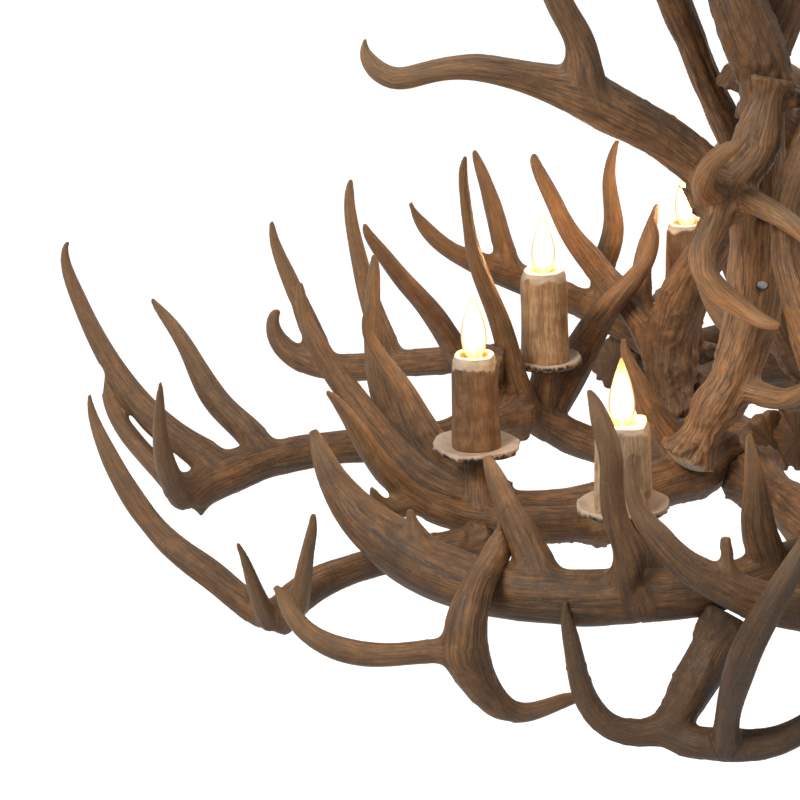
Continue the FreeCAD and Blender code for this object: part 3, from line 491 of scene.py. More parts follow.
# %% Lattice noise
HASH_PRIMES = (374761393, 668265263, 2147483647, 1274126177)
HASH_MASK = 0xFFFFFFFF


def lattice(cell, seed):
    """A fixed random number from -1 to 1 at each corner of the lattice."""
    mixed = (cell[:, 0] * HASH_PRIMES[0] + cell[:, 1] * HASH_PRIMES[1]
             + cell[:, 2] * HASH_PRIMES[2] + seed * HASH_PRIMES[3]) & HASH_MASK
    mixed = ((mixed ^ (mixed >> 13)) * HASH_PRIMES[3]) & HASH_MASK
    return ((mixed ^ (mixed >> 16)) & 0xFFFF) / 0x7FFF - 1


def noise(points, seed):
    """Smooth noise of wavelength about 1, from -1 to 1."""
    cell = np.floor(points).astype(np.int64)
    share = points - cell
    share = share * share * (3 - 2 * share)
    total = np.zeros(len(points))
    for corner in range(8):
        step = np.array([corner & 1, corner >> 1 & 1, corner >> 2 & 1])
        weight = np.prod(np.where(step, share, 1 - share), axis=1)
        total += weight * lattice(cell + step, seed)
    return total


def ease(value, low, high):
    """0 below low, 1 above high and a smooth rise between, for whole arrays."""
    share = np.clip((value - low) / (high - low), 0, 1)
    return share * share * (3 - 2 * share)


# %% Mesh helpers
def linked(name, data):
    """A new object in the scene that shows this mesh or curve."""
    obj = bpy.data.objects.new(name, data)
    bpy.context.collection.objects.link(obj)
    return obj


def only(obj):
    """Selects this object alone, because an operator acts on all that is selected."""
    bpy.ops.object.select_all(action="DESELECT")
    obj.select_set(True)
    bpy.context.view_layer.objects.active = obj


def apply_modifier(obj, kind, **settings):
    only(obj)
    modifier = obj.modifiers.new(kind.lower(), kind)
    for name, value in settings.items():
        setattr(modifier, name, value)
    bpy.ops.object.modifier_apply(modifier=modifier.name)


def read(obj, what="co"):
    values = np.empty(len(obj.data.vertices) * 3)
    obj.data.vertices.foreach_get(what, values)
    return values.reshape(-1, 3)


def write(obj, points):
    obj.data.vertices.foreach_set("co", points.ravel())
    obj.data.update()


def keep_values(obj, **named):
    """Stores one number, or one vector, for each vertex, where a material can read it."""
    for name, values in named.items():
        vector = values.ndim == 2
        layer = obj.data.attributes.new(name, "FLOAT_VECTOR" if vector else "FLOAT", "POINT")
        layer.data.foreach_set("vector" if vector else "value", values.astype(np.float32).ravel())


def edit_all(obj):
    """Opens edit mode with everything selected."""
    only(obj)
    bpy.ops.object.mode_set(mode="EDIT")
    bpy.ops.mesh.select_all(action="SELECT")


def select_vertices(obj, chosen):
    """Opens edit mode with just these vertices selected."""
    only(obj)
    bpy.ops.object.mode_set(mode="EDIT")
    bpy.ops.mesh.select_mode(type="VERT")
    bpy.ops.mesh.select_all(action="DESELECT")
    bpy.ops.object.mode_set(mode="OBJECT")
    obj.data.vertices.foreach_set("select", chosen)
    bpy.ops.object.mode_set(mode="EDIT")


def half_turned(obj, name):
    """The same mesh, its own copy, turned half a turn about the stem."""
    copy = linked(name, obj.data.copy())
    copy.data.transform(Matrix.Rotation(math.pi, 4, "Z"))
    return copy


# %% [markdown]
# To follow a beam, every vertex is measured against each branch: how far it lies outside the
# branch's round surface, how far along the branch it is, and at what angle round it. The
# angle needs a side direction that doesn't twist, so it is carried from point to point
# and only leaned over as the branch bends.

# %% Measuring vertices against a branch
GRAIN_RADIUS = 0.025                  # grooves are counted round a beam of this radius
STEEP = 0.9
FAR = 9.0                             # further than any piece reaches
TINY = 1e-9                           # keeps a division by a length from failing at 0


def carried_sides(points):
    """Unit directions along the branch and square to it, carried without twist."""
    ahead = np.gradient(points, axis=0)
    ahead /= np.linalg.norm(ahead, axis=1)[:, None]
    up = np.array([0, 0, 1.0]) if abs(ahead[0][2]) < STEEP else np.array([1.0, 0, 0])
    side = np.cross(ahead[0], up)
    sides = []
    for direction in ahead:
        side = side - direction * (side @ direction)
        side /= np.linalg.norm(side)
        sides.append(side)
    return ahead, np.array(sides)


def measure(vertices, branch):
    """Distance outside the branch, grain coordinates, the branch's radius there and the
    direction out from its middle line."""
    table = np.array(branch)
    points, radii = table[:, :3], table[:, 3]
    ahead, sides = carried_sides(points)
    count = len(vertices)
    outside = np.full(count, FAR)
    grain = np.zeros((count, 3))
    outward = np.zeros((count, 3))
    radius = np.zeros(count)
    run = 0.0
    for index in range(len(points) - 1):
        step = points[index + 1] - points[index]
        length = np.linalg.norm(step)
        share = np.clip((vertices - points[index]) @ step / length ** 2, 0, 1)
        offset = vertices - points[index] - share[:, None] * step
        here = radii[index] + share * (radii[index + 1] - radii[index])
        away = np.linalg.norm(offset, axis=1)
        gap = away - here
        side = sides[index] + share[:, None] * (sides[index + 1] - sides[index])
        front = ahead[index] + share[:, None] * (ahead[index + 1] - ahead[index])
        across = np.cross(front, side)
        first = np.einsum("ij,ij->i", offset, side)
        second = np.einsum("ij,ij->i", offset, across)
        reach = np.hypot(first, second) + TINY
        nearer = gap < outside
        outside[nearer] = gap[nearer]
        radius[nearer] = here[nearer]
        outward[nearer] = (offset / (away[:, None] + TINY))[nearer]
        turned = np.stack([first / reach * GRAIN_RADIUS, second / reach * GRAIN_RADIUS,
                           run + share * length], axis=1)
        grain[nearer] = turned[nearer]
        run += length
    return outside, grain, radius, outward


# %% [markdown]
# A shed antler is bone that grew under velvet. Its beam keeps lengthwise grooves where the
# vessels lay, the burr at its foot is a ring of beads, pearls climb the first hand's breadth above
# it, and forks are webbed. The CAD solids have the right run and thickness but are plain
# tapered tubes. A copy is remeshed into an even skin and drawn in where a solid swings wide of
# its route. Then the corners of its forks are smoothed into webs, and the skin is moved in
# and out by the measured noise.

# %% Antler skin
SKIN_CELL = 0.0030
BEND_SLACK = 0.008                    # how far outside its route a skin may lie
MERGE_GAP = 0.00002
WEB_REACH = 0.016                     # how far a fork's web spreads
WEB_PASSES = 26
SMOOTHING, EVEN_PASSES = 0.5, 3       # how much one pass smooths, and passes after the remesh
FORK_BLEND = 0.006
SAW_DEPTH = 0.004                     # how near the root's flat end counts as sawn
GROOVE_WIDTH, GROOVE_LENGTH = 0.0065, 0.085
FINE_WIDTH, FINE_LENGTH = 0.0032, 0.060
PEARL_SIZE, BEAD_SIZE, LUMP_SIZE = 0.0075, 0.0085, 0.042
BEAD_SHOWS, PEARL_SHOWS = (-0.25, 0.55), (0.15, 0.6)     # the noise where each starts and is full
BEAD_RISE, BEAD_SINK, PEARL_RISE = 0.0068, 0.0012, 0.0026
BARK_RISE, WORN_BARK_RISE = 0.00115, 0.00012
LUMP_RISE, LUMPS_WORN_OFF = 0.0013, 0.0008
WORN_RADII = (0.008, 0.021)           # thinner than the first is rubbed smooth, past the second not
SAWN_FACING = (0.55, 0.85)            # how squarely the root's flat end faces back
BURR_WIDTH, BURR_RUN = 0.013, 0.3     # the burr's spread, and how far up a beam it can be felt
PEARL_REACH = 0.07                    # how far up the beam the pearls climb
# How much paler or darker each antler is made as a whole, from -1 to 1: partly its own tone, partly
# painted shade, which makes the low bottom antler the darkest and darkens the front rim; and how many
# times as rough.
PALE_AND_SHADE = {"front_low": 0.2, "top_arm": 0.45, "column": 0.6, "inner_front": -0.2, "inner_arm": -0.3,
        "side_arm": -0.35, "side_low": -0.25, "back_side": -0.2, "back_arm": -0.2, "bottom": -1.0,
        "crown": -0.35, "tall_back": -0.3, "front_cross": -0.5, "back_rim": -0.3, "front_rim": -0.45}
RUGGED = {"tall_back": 2.2, "column": 1.7, "bottom": 1.5, "crown": 1.4, "back_rim": 1.3}
BONE_FACED = ("column",)              # antlers whose sawn root shows as a dome of bare bone
BONE_DOME = 0.010


def copy_of_node(node, name):
    """A merged copy of a CAD node's mesh, as a piece of its own."""
    piece = linked(name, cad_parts[node].data.copy())
    piece.data.materials.clear()
    edit_all(piece)
    bpy.ops.mesh.remove_doubles(threshold=MERGE_GAP)
    bpy.ops.object.mode_set(mode="OBJECT")
    return piece


def beam_and_tine(vertices, branches):
    """Measures against the beam, and against the nearest of the tines."""
    beam = measure(vertices, branches[0])
    tine = [np.full(len(vertices), FAR), np.zeros((len(vertices), 3)), beam[2].copy(),
            beam[3].copy()]
    for branch in branches[1:]:
        found = measure(vertices, branch)
        nearer = found[0] < tine[0]
        for kept, new in zip(tine, found):
            kept[nearer] = new[nearer]
    share = ease(beam[0] - tine[0], -FORK_BLEND, FORK_BLEND)
    return beam, tine, share


def trim_wide_bends(piece, branches):
    """Draws the skin in where the solid swings wide of its route, as it does at a tight bend."""
    vertices = read(piece)
    beam, tine, _ = beam_and_tine(vertices, branches)
    outward = np.where((beam[0] < tine[0])[:, None], beam[3], tine[3])
    wide = np.maximum(np.minimum(beam[0], tine[0]) - BEND_SLACK, 0)
    write(piece, vertices - outward * wide[:, None])
    return wide.max()


def web_the_forks(piece, branches):
    """Rounds the sharp crease where a tine leaves the beam."""
    outsides = np.sort([measure(read(piece), branch)[0] for branch in branches], axis=0)
    if len(outsides) > 1:
        select_vertices(piece, (np.abs(outsides[1]) < WEB_REACH) & (outsides[0] > -SAW_DEPTH))
        bpy.ops.mesh.vertices_smooth(factor=SMOOTHING, repeat=WEB_PASSES)
        bpy.ops.object.mode_set(mode="OBJECT")


def grooves(grain, seed):
    """Lengthwise grooves, coarse and fine, as a number from about -1 to 1."""
    coarse = noise(grain / (GROOVE_WIDTH, GROOVE_WIDTH, GROOVE_LENGTH), seed)
    fine = noise(grain / (FINE_WIDTH, FINE_WIDTH, FINE_LENGTH), seed + 1)
    return 0.7 * coarse + 0.3 * fine - 0.35 * np.abs(coarse)


def dress_antler(name, branches, seed):
    piece = copy_of_node(f"{name}_antler_left", f"{name}_antler_skin_left")
    apply_modifier(piece, "REMESH", mode="VOXEL", voxel_size=SKIN_CELL, use_smooth_shade=True)
    apply_modifier(piece, "SMOOTH", factor=SMOOTHING, iterations=EVEN_PASSES)
    drawn_in = trim_wide_bends(piece, branches)
    print(name, "drawn in by up to", round(drawn_in / MM, 1), "mm")
    web_the_forks(piece, branches)
    vertices, facing = read(piece), read(piece, "normal")
    beam, tine, on_tine = beam_and_tine(vertices, branches)
    radius = beam[2] + on_tine * (tine[2] - beam[2])
    worn = 1 - ease(radius, *WORN_RADII)
    groove = (1 - on_tine) * grooves(beam[1], seed) + on_tine * grooves(tine[1], seed + 5)

    root = np.array(branches[0][0][:3])
    ahead = np.array(branches[0][1][:3]) - root
    ahead /= np.linalg.norm(ahead)
    depth = (vertices - root) @ ahead
    sawn = ease(-(facing @ ahead), *SAWN_FACING) * (depth < SAW_DEPTH)
    from_root = np.maximum(depth, 0) + FAR * (beam[1][:, 2] > BURR_RUN)
    ring = np.exp(-(from_root / BURR_WIDTH) ** 2) * (1 - on_tine)
    rugged = RUGGED.get(name, 1.0)
    pearly = np.exp(-from_root / (PEARL_REACH * rugged)) * (1 - on_tine)

    beads = ease(noise(vertices / BEAD_SIZE, seed + 2), *BEAD_SHOWS)
    pearls = ease(noise(vertices / PEARL_SIZE, seed + 3), *PEARL_SHOWS)
    lumps = noise(vertices / LUMP_SIZE, seed + 4)
    bark = (groove * (BARK_RISE * (1 - worn) + WORN_BARK_RISE)
            + lumps * (LUMP_RISE - LUMPS_WORN_OFF * worn))
    height = (bark * rugged + ring * (beads * BEAD_RISE - BEAD_SINK)
              + pearly * pearls * PEARL_RISE * rugged)
    vertices += facing * (height * (1 - sawn))[:, None]
    bone = sawn * (name in BONE_FACED)
    from_axis = np.linalg.norm(np.cross(vertices - root, ahead), axis=1) / branches[0][0][3]
    vertices -= ahead * (bone * BONE_DOME * np.clip(1 - from_axis ** 2, 0, 1))[:, None]
    write(piece, vertices)

    # The per-antler paleness value also carries painted shade, strongest on the bottom antler.
    keep_values(piece, beam_grain=beam[1], tine_grain=tine[1], on_tine=on_tine, worn=worn,
                sawn=bone, pale=np.full(len(vertices), PALE_AND_SHADE.get(name, 0.0)),
                burr=np.maximum(ring, pearly) * (0.5 + 0.5 * pearls), groove=groove)
    return piece


antler_skins = []
for number, (name, branches) in enumerate(ANTLERS.items()):
    left = dress_antler(name, branches, 10 * number)
    right = half_turned(left, f"{name}_antler_skin_right")
    for side, piece in zip(SIDES, (left, right)):
        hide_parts(f"{name}_antler_{side}")
        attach(piece, "antler_frame")
        antler_skins.append(piece)
print("antler skins:", len(antler_skins), "vertices:", sum(len(p.data.vertices) for p in antler_skins))

# %% [markdown]
# Antler is brown where sap and dirt stained it and pale where it rubs on trees. So the colour
# runs from a dark stain in the grooves, through a mottled brown, to tan on the worn tips, and the
# column's sawn root is bare, pored bone. The grain is a noise stretched along the branch; at
# a fork the beam's grain and the tine's are mixed.

# %% Antler finish
# The darkest stain colour also serves as the painted shade on the darker antlers.
DARK_STAIN_AND_SHADE, STAIN_BROWN = (0.026, 0.0130, 0.0055), (0.165, 0.080, 0.031)
STAIN_WARM, WORN_TAN = (0.315, 0.160, 0.062), (0.36, 0.210, 0.098)
PALE_TAN, BURR_BROWN = (0.40, 0.255, 0.142), (0.115, 0.058, 0.025)
BONE, BONE_SHADE = (0.68, 0.58, 0.47), (0.42, 0.33, 0.24)
ALONG = 0.07                          # how slowly the grain changes along a beam
FINE_GRAIN, COARSE_GRAIN = (480, 4), (200, 3)            # scale and detail
BEAM_RELIEF = (0.0022, 0.9)           # a bump's depth and strength


def grain_pattern(paint, scale, detail):
    """Fine lengthwise streaks that follow the beam, or the tine, as a number from 0 to 1."""
    streaks = []
    for name in ("beam_grain", "tine_grain"):
        vector = paint.stretched(paint.attribute(name, "Vector"), (1, 1, ALONG))
        streaks.append(paint.noise(vector, scale, detail, 0.6))
    return streaks[0] + paint.attribute("on_tine") * (streaks[1] - streaks[0])


def antler_paint():
    paint = Paint("antler_beam")
    fine = grain_pattern(paint, *FINE_GRAIN)
    coarse = grain_pattern(paint, *COARSE_GRAIN)
    patches = paint.noise(paint.place(), 11, 3, 0.6)
    mottle = paint.noise(paint.place(), 48, 4, 0.65)
    specks = paint.noise(paint.place(), 340, 2, 0.5)
    worn = paint.attribute("worn")
    groove = paint.attribute("groove")
    pale = paint.attribute("pale")
    streaks = (1 - fine.ease(0.42, 0.56)) * 0.60 + (1 - coarse.ease(0.40, 0.52)) * 0.34
    pored_bone = paint.mix(specks.ease(0.5, 0.62), BONE, BONE_SHADE)
    colour = paint.layered(
        STAIN_BROWN,
        (mottle.ease(0.34, 0.66), STAIN_WARM),
        (patches.ease(0.48, 0.72) * 0.4, DARK_STAIN_AND_SHADE),
        (worn * 0.6, WORN_TAN),
        # Each antler is made paler or darker as a whole: partly its own tone, partly painted shade,
        # strongest on the bottom antler.
        (pale.ease(0, 1) * 0.7, PALE_TAN),
        ((0 - pale).ease(0, 1) * 0.6, DARK_STAIN_AND_SHADE),
        (streaks * (1 - worn * 0.45), DARK_STAIN_AND_SHADE),
        ((1 - groove.ease(-0.75, 0.1)) * (0.36 - worn * 0.2), DARK_STAIN_AND_SHADE),
        (paint.attribute("burr") * 0.5, BURR_BROWN),
        (specks.ease(0.62, 0.72) * 0.35, WORN_TAN),
        (paint.attribute("sawn"), pored_bone))
    rough = 0.5 + fine * 0.22 - worn * 0.12
    relief = fine * 0.6 + coarse * 0.5 + specks * 0.2
    return paint.finish(colour, rough, Normal=paint.bump(relief, *BEAM_RELIEF))


antler_finish = antler_paint()
for piece in antler_skins:
    piece.data.materials.append(antler_finish)
print("antler finish on", len(antler_skins), "skins")

# %% [markdown]
# Sleeves, dishes and bulbs are all round about an upright axis, so each starts as a profile that
# `spin` turns into a closed skin. Its seam is merged and its normals are made to point out.
# What makes them look cut from antler comes after: an uneven outline, a squarer section,
# bark grooves and a carved crown.

# %% Turning a profile
SLEEVE_STEPS, DISH_STEPS = 120, 180   # how many steps make a full turn
GLASS_STEPS, SCREW_STEPS, STEM_STEPS = 48, 40, 20


def spin_profile(name, profile, centre, steps):
    """A closed skin: the profile's pairs of radius and height, turned about an upright axis."""
    mesh = bpy.data.meshes.new(name)
    points = [(centre[0] + r, centre[1], centre[2] + z) for r, z in profile]
    mesh.from_pydata(points, [(i, i + 1) for i in range(len(points) - 1)], [])
    piece = linked(name, mesh)
    edit_all(piece)
    bpy.ops.mesh.spin(steps=steps, angle=2 * math.pi, center=centre, axis=(0, 0, 1))
    bpy.ops.mesh.select_all(action="SELECT")
    bpy.ops.mesh.remove_doubles(threshold=MERGE_GAP)
    bpy.ops.mesh.normals_make_consistent(inside=False)
    bpy.ops.object.mode_set(mode="OBJECT")
    only(piece)
    bpy.ops.object.shade_smooth()
    return piece


def finely(corners, step):
    """The profile's corners with points added between them, about a step apart."""
    line = [corners[0]]
    for (r0, z0), (r1, z1) in zip(corners, corners[1:]):
        parts = max(1, round(math.hypot(r1 - r0, z1 - z0) / step))
        line += [(r0 + (r1 - r0) * k / parts, z0 + (z1 - z0) * k / parts)
                 for k in range(1, parts + 1)]
    return line


def polar(points, centre):
    """Radius, and the unit direction out from the axis, of every vertex."""
    out = points[:, :2] - np.array(centre[:2])
    radius = np.hypot(out[:, 0], out[:, 1]) + TINY
    return radius, out / radius[:, None]


def candle(place, side="left"):
    """Where a candle stands: the middle of its sleeve's foot, the sleeve's radius and height."""
    low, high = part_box(f"{place}_candle_sleeve_{side}")
    middle = ((low[0] + high[0]) / 2, (low[1] + high[1]) / 2, low[2])
    return middle, (high[0] - low[0]) / 2, high[2] - low[2]


print("candles:", {place: [round(v, 4) for v in candle(place)[0]] for place in PLACES})

# %% [markdown]
# A sleeve is a bored length of antler beam that hides the socket. The bark side is grooved; the
# top is sawn and then carved into a crown, so bare bone shows in a band whose lower edge
# wanders where the knife stopped. The front sleeves come from a flatter, paler beam: their
# section is squarer, and pits take the place of most of the grooves.

# %% Candle sleeves
BORE = 0.017
CROWN = {"front": 0.010, "side": 0.017, "back": 0.015, "rear": 0.014}     # carved height
SQUARE = {"front": 0.85, "side": 0.12, "back": 0.22, "rear": 0.15}        # 0 round, 1 square
SLEEVE_FLARE = {"front": 0.0, "side": 0.0016, "back": 0.0008, "rear": 0.0012}
CROWN_CUT = 0.0042                    # how far the carving draws the top edge in
TAPER, CUT_DEPTH = 0.0016, 0.008      # how much slimmer the sleeve is this far below its top
EDGE, ROUNDED, LIP = 0.0008, 0.0012, 0.001               # how far each sawn edge is broken
SLEEVE_STEP = 0.002
SKIN_STARTS = (0.001, 0.004)          # out from the bore, where the outer skin begins
LINE_SOFT = 0.0006                    # half the width of the edge between bark and bone
GROOVE_DEPTH, PIT_DEPTH, LUMP_DEPTH, FACET_DEPTH = 0.0011, 0.0011, 0.0009, 0.0007
BARK_STEP = 0.0011                    # the bark stands this far out from the bare bone
PIT_SIZE, SLEEVE_LUMP = 0.0105, 0.03
TOP_UNEVEN, TOP_DEPTH = 0.0012, 0.003


def squared(direction, amount):
    """How much further out the surface is, in this direction, on a squarer section."""
    corner = (direction[:, 0] ** 6 + direction[:, 1] ** 6) ** (-1 / 6)
    return 1 + amount * (corner - 1)


def dress_sleeve(place, seed):
    foot, radius, height = candle(place)
    wall = [(BORE, 0.0), (radius - EDGE, 0.0), (radius, ROUNDED),
            (radius - TAPER, height - CUT_DEPTH), (radius - CROWN_CUT, height - ROUNDED),
            (radius - CROWN_CUT - LIP, height), (BORE + EDGE, height), (BORE, height - EDGE),
            (BORE, 0.0)]
    piece = spin_profile(f"{place}_sleeve_left", finely(wall, SLEEVE_STEP), foot, SLEEVE_STEPS)
    points, facing = read(piece), read(piece, "normal")
    reach, direction = polar(points, foot)
    rise = points[:, 2] - foot[2]
    around = np.column_stack([direction * GRAIN_RADIUS, rise])
    skin = ease(reach, BORE + SKIN_STARTS[0], BORE + SKIN_STARTS[1])

    crown_line = height - CROWN[place] * (0.8 + 0.45 * noise(around * (70, 70, 0), seed + 1)
                                          + 0.25 * noise(around * (190, 190, 0), seed + 2))
    bare = ease(rise, crown_line - LINE_SOFT, crown_line + LINE_SOFT) * skin
    groove = grooves(around * (1, 1, 1.6), seed + 3)
    pits = ease(noise(points / (PIT_SIZE, PIT_SIZE, PIT_SIZE * 1.5), seed + 4), 0.3, 0.62)
    pitted = 1.0 if place == "front" else 0.0
    facets = noise(around * (95, 95, 30), seed + 5)
    lumps = noise(points / SLEEVE_LUMP, seed + 6)

    bark = groove * GROOVE_DEPTH * (1 - 0.6 * pitted) - pits * pitted * PIT_DEPTH
    height_out = (1 - bare) * bark - bare * (BARK_STEP + FACET_DEPTH * facets) + lumps * LUMP_DEPTH
    flare = SLEEVE_FLARE[place] * (1 - ease(rise, 0, height * 0.4))
    reach_new = reach * (1 + skin * (squared(direction, SQUARE[place]) - 1))
    reach_new += skin * (height_out * np.abs(facing[:, :2]).max(axis=1) + flare)
    points[:, :2] = np.array(foot[:2]) + direction * reach_new[:, None]
    points[:, 2] += bare * ease(rise, height - TOP_DEPTH, height) * lumps * TOP_UNEVEN
    write(piece, points)
    # The inside value marks the bore's wall and the inner edge of the top, which the finish darkens as
    # painted shade.
    keep_values(piece, bare=bare, groove=groove * (1 - pitted) - 1.3 * pits * pitted,
                inside=1 - skin)
    return piece


# %% Bark and bone finish of the sleeves
SLEEVE_TONES = {                      # light, brown and dark
    "front": ((0.68, 0.52, 0.36), (0.54, 0.39, 0.25), (0.17, 0.10, 0.055)),
    "side": ((0.30, 0.165, 0.080), (0.170, 0.088, 0.041), (0.055, 0.027, 0.013)),
    "back": ((0.60, 0.41, 0.24), (0.42, 0.26, 0.140), (0.13, 0.070, 0.035)),
    "rear": ((0.33, 0.190, 0.098), (0.195, 0.106, 0.052), (0.065, 0.034, 0.017)),
}
UPRIGHT = (1, 1, 0.075)               # the sleeve's fibres stand upright
SLEEVE_RELIEF = (0.0012, 0.7)


def sleeve_paint(place):
    light, brown, dark = SLEEVE_TONES[place]
    paint = Paint(f"{place}_sleeve_bark")
    upright = paint.stretched(paint.place(), UPRIGHT)
    fibres = paint.noise(upright, 520, 4, 0.62)
    bands = paint.noise(upright, 150, 2)
    mottle = paint.noise(paint.place(), 60, 3)
    groove = paint.attribute("groove")
    bone = paint.mix(mottle.ease(0.4, 0.7) * 0.6, BONE, BONE_SHADE)
    colour = paint.layered(
        brown,
        (mottle.ease(0.35, 0.65), light),
        ((1 - fibres.ease(0.32, 0.60)) * 0.6, dark),
        ((1 - bands.ease(0.36, 0.56)) * 0.15, dark),
        ((1 - groove.ease(-0.85, 0.05)) * 0.5, dark),
        (paint.attribute("bare"), bone),
        # Painted shade inside the bore: its wall and the inner edge of the top are darkened.
        (paint.attribute("inside") * 0.6, dark))
    relief = fibres * 0.7 + bands * 0.5
    return paint.finish(colour, 0.55 + fibres * 0.2, Normal=paint.bump(relief, *SLEEVE_RELIEF))


for number, place in enumerate(PLACES):
    left = dress_sleeve(place, 300 + 10 * number)
    left.data.materials.append(sleeve_paint(place))
    right = half_turned(left, f"{place}_sleeve_right")
    for side, piece in zip(SIDES, (left, right)):
        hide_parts(f"{place}_candle_sleeve_{side}")
        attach(piece, "antler_frame")
print("sleeves:", 2 * len(PLACES))

# %% [markdown]
# The drip dishes are slices sawn through a burr, so their rim is the burr's own ragged outline:
# bone on the sawn top, and below its broken edge the brown beads of the coronet. The outline is a
# smooth wander plus teeth, the top dips a little towards the sleeve, and the rim leans in
# below, as the burr does.

# %% Drip dishes
DISH_BORE = 0.006
DISH_STEP = 0.0016
# The underside from the bore outwards, as shares of the dish's radius and thickness.
UNDERSIDE = ((0.55, 0.0), (0.86, 0.22), (0.97, 0.5), (1.0, 0.78))
RIM_ROUND, RIM_DROP, RIM_FLAT = 0.001, 0.0006, 0.003     # how the sawn top's edge is broken
TEETH = {"front": 0.0016, "side": 0.0022, "back": 0.0040, "rear": 0.0034}
WANDER = {"front": 0.055, "side": 0.075, "back": 0.065, "rear": 0.075}
TEETH_REACH = 0.006                   # how far in from the rim the broken edge reaches
# How fine each wave round the rim is, and its share.
WANDER_WAVES, TEETH_WAVES = ((1.6, 0.65), (3.7, 0.35)), ((15, 0.6), (31, 0.4))
DROOP_WAVES, TOP_LUMP, TOP_WAVE = ((2.3, 0.0024),), 0.02, 0.0006
RIM_IN = 0.0012                       # drawn in by this, so that the teeth stay in the CAD's box
DISH_BEAD = 0.0065                    # size of the coronet's beads
CORONET_RISE, CORONET_SINK = 0.0042, 0.002
BARK_LEVEL, BARK_WANDER = 0.70, 0.22  # how high the brown edge climbs, as shares of the thickness
DIP_STARTS, DIP_ENDS, DIP = 0.010, 0.004, 0.0012         # out from the sleeve, and how deep


def waves(ring, kinds, seed):
    """Noise round the rim, of several finenesses, each with its share."""
    return sum(noise(ring * fine, seed + k) * share for k, (fine, share) in enumerate(kinds))


def dress_dish(place, seed):
    foot, sleeve_radius, _ = candle(place)
    low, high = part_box(f"{place}_drip_dishes")
    radius = (high[0] - low[0]) / 2 - abs(foot[0])
    thick = high[2] - low[2]
    base = (foot[0], foot[1], low[2])
    floor = foot[2] - low[2]
    outline = [(DISH_BORE, 0.0)] + [(radius * out, thick * up) for out, up in UNDERSIDE]
    outline += [(radius - RIM_ROUND, thick - RIM_DROP), (radius - RIM_FLAT, thick),
                (sleeve_radius + DIP_STARTS, floor + DIP), (sleeve_radius + DIP_ENDS, floor),
                (DISH_BORE, floor), (DISH_BORE, 0.0)]
    piece = spin_profile(f"{place}_dish_left", finely(outline, DISH_STEP), base, DISH_STEPS)
    points = read(piece)
    reach, direction = polar(points, base)
    rise = points[:, 2] - base[2]
    ring = np.column_stack([direction, np.zeros(len(points))])
    wander = waves(ring, WANDER_WAVES, seed)
    teeth = waves(ring, TEETH_WAVES, seed + 2)
    rim = ease(reach, sleeve_radius + DIP_ENDS, radius)
    edge_only = ease(reach, radius - TEETH_REACH, radius - RIM_ROUND)
    lower = 1 - ease(rise, thick * 0.55, thick * 0.85)
    beads = ease(noise(points / DISH_BEAD, seed + 4), -0.3, 0.5)
    coronet = lower * (beads * CORONET_RISE - CORONET_SINK)
    broken = teeth * TEETH[place] * (0.45 + 0.55 * lower) + coronet
    grow = rim * (wander * WANDER[place] * radius - RIM_IN) + edge_only * broken
    points[:, :2] = np.array(base[:2]) + direction * (reach + grow)[:, None]
    droop = waves(ring, DROOP_WAVES, seed + 5) + noise(points / TOP_LUMP, seed + 6) * TOP_WAVE
    points[:, 2] += rim * droop
    write(piece, points)
    edge = thick * (BARK_LEVEL + BARK_WANDER * noise(ring * 19, seed + 7))
    underside = ease(-read(piece, "normal")[:, 2], 0.1, 0.4)
    beneath = 1 - ease(rise, edge - LINE_SOFT, edge + LINE_SOFT)
    keep_values(piece, bark=beneath * np.maximum(edge_only, underside), beads=beads)
    return piece


# %% Sawn burr finish
DISH_BONE, DISH_SHADE, BEAD_BROWN = (0.56, 0.47, 0.38), (0.36, 0.28, 0.215), (0.20, 0.105, 0.05)
DISH_RELIEF = (0.001, 0.6)


def dish_paint():
    paint = Paint("sawn_burr")
    mottle = paint.noise(paint.place(), 45, 4, 0.6)
    pores = paint.noise(paint.place(), 420, 2)
    beaded = paint.mix(paint.attribute("beads"), DARK_STAIN_AND_SHADE, BEAD_BROWN)
    colour = paint.layered(
        DISH_BONE,
        (mottle.ease(0.38, 0.68) * 0.6, DISH_SHADE),
        (pores.ease(0.58, 0.68) * 0.4, BONE_SHADE),
        (paint.attribute("bark"), beaded))
    relief = pores * 0.5 + mottle * 0.5
    return paint.finish(colour, 0.62, Normal=paint.bump(relief, *DISH_RELIEF))


dish_finish = dish_paint()
for number, place in enumerate(PLACES):
    left = dress_dish(place, 400 + 10 * number)
    left.data.materials.append(dish_finish)
    for side, piece in zip(SIDES, (left, half_turned(left, f"{place}_dish_right"))):
        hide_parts(f"{place}_drip_dishes")
        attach(piece, "antler_frame")
print("dishes:", 2 * len(PLACES))

# %% [markdown]
# A flame-tip bulb is a blown envelope drawn out to a point, with a screw base, a glass stem and a
# thin wire that glows. Thick glass would need many light paths to look clear, so the envelope
# is a thin closed skin that is partly see-through, brightest near its wire and tan at its
# edges. A small warm point lamp in each bulb lights the antlers round it, as the
# photograph shows.

# %% Bulbs
GLASS_OUTLINE = [(0.475, 0.0), (0.56, 0.03), (0.78, 0.10), (0.93, 0.19), (1.0, 0.30), (0.985, 0.38),
                 (0.93, 0.46), (0.82, 0.56), (0.68, 0.66), (0.51, 0.755), (0.36, 0.84),
                 (0.235, 0.905), (0.165, 0.945), (0.125, 0.972), (0.085, 0.99), (0.0, 1.0)]
GLASS_WALL, GLASS_NECK = 0.0007, 0.0076
NECK_SINK, NECK_GAP = 0.006, 0.0003   # how far the glass's foot stands below the sleeve's top
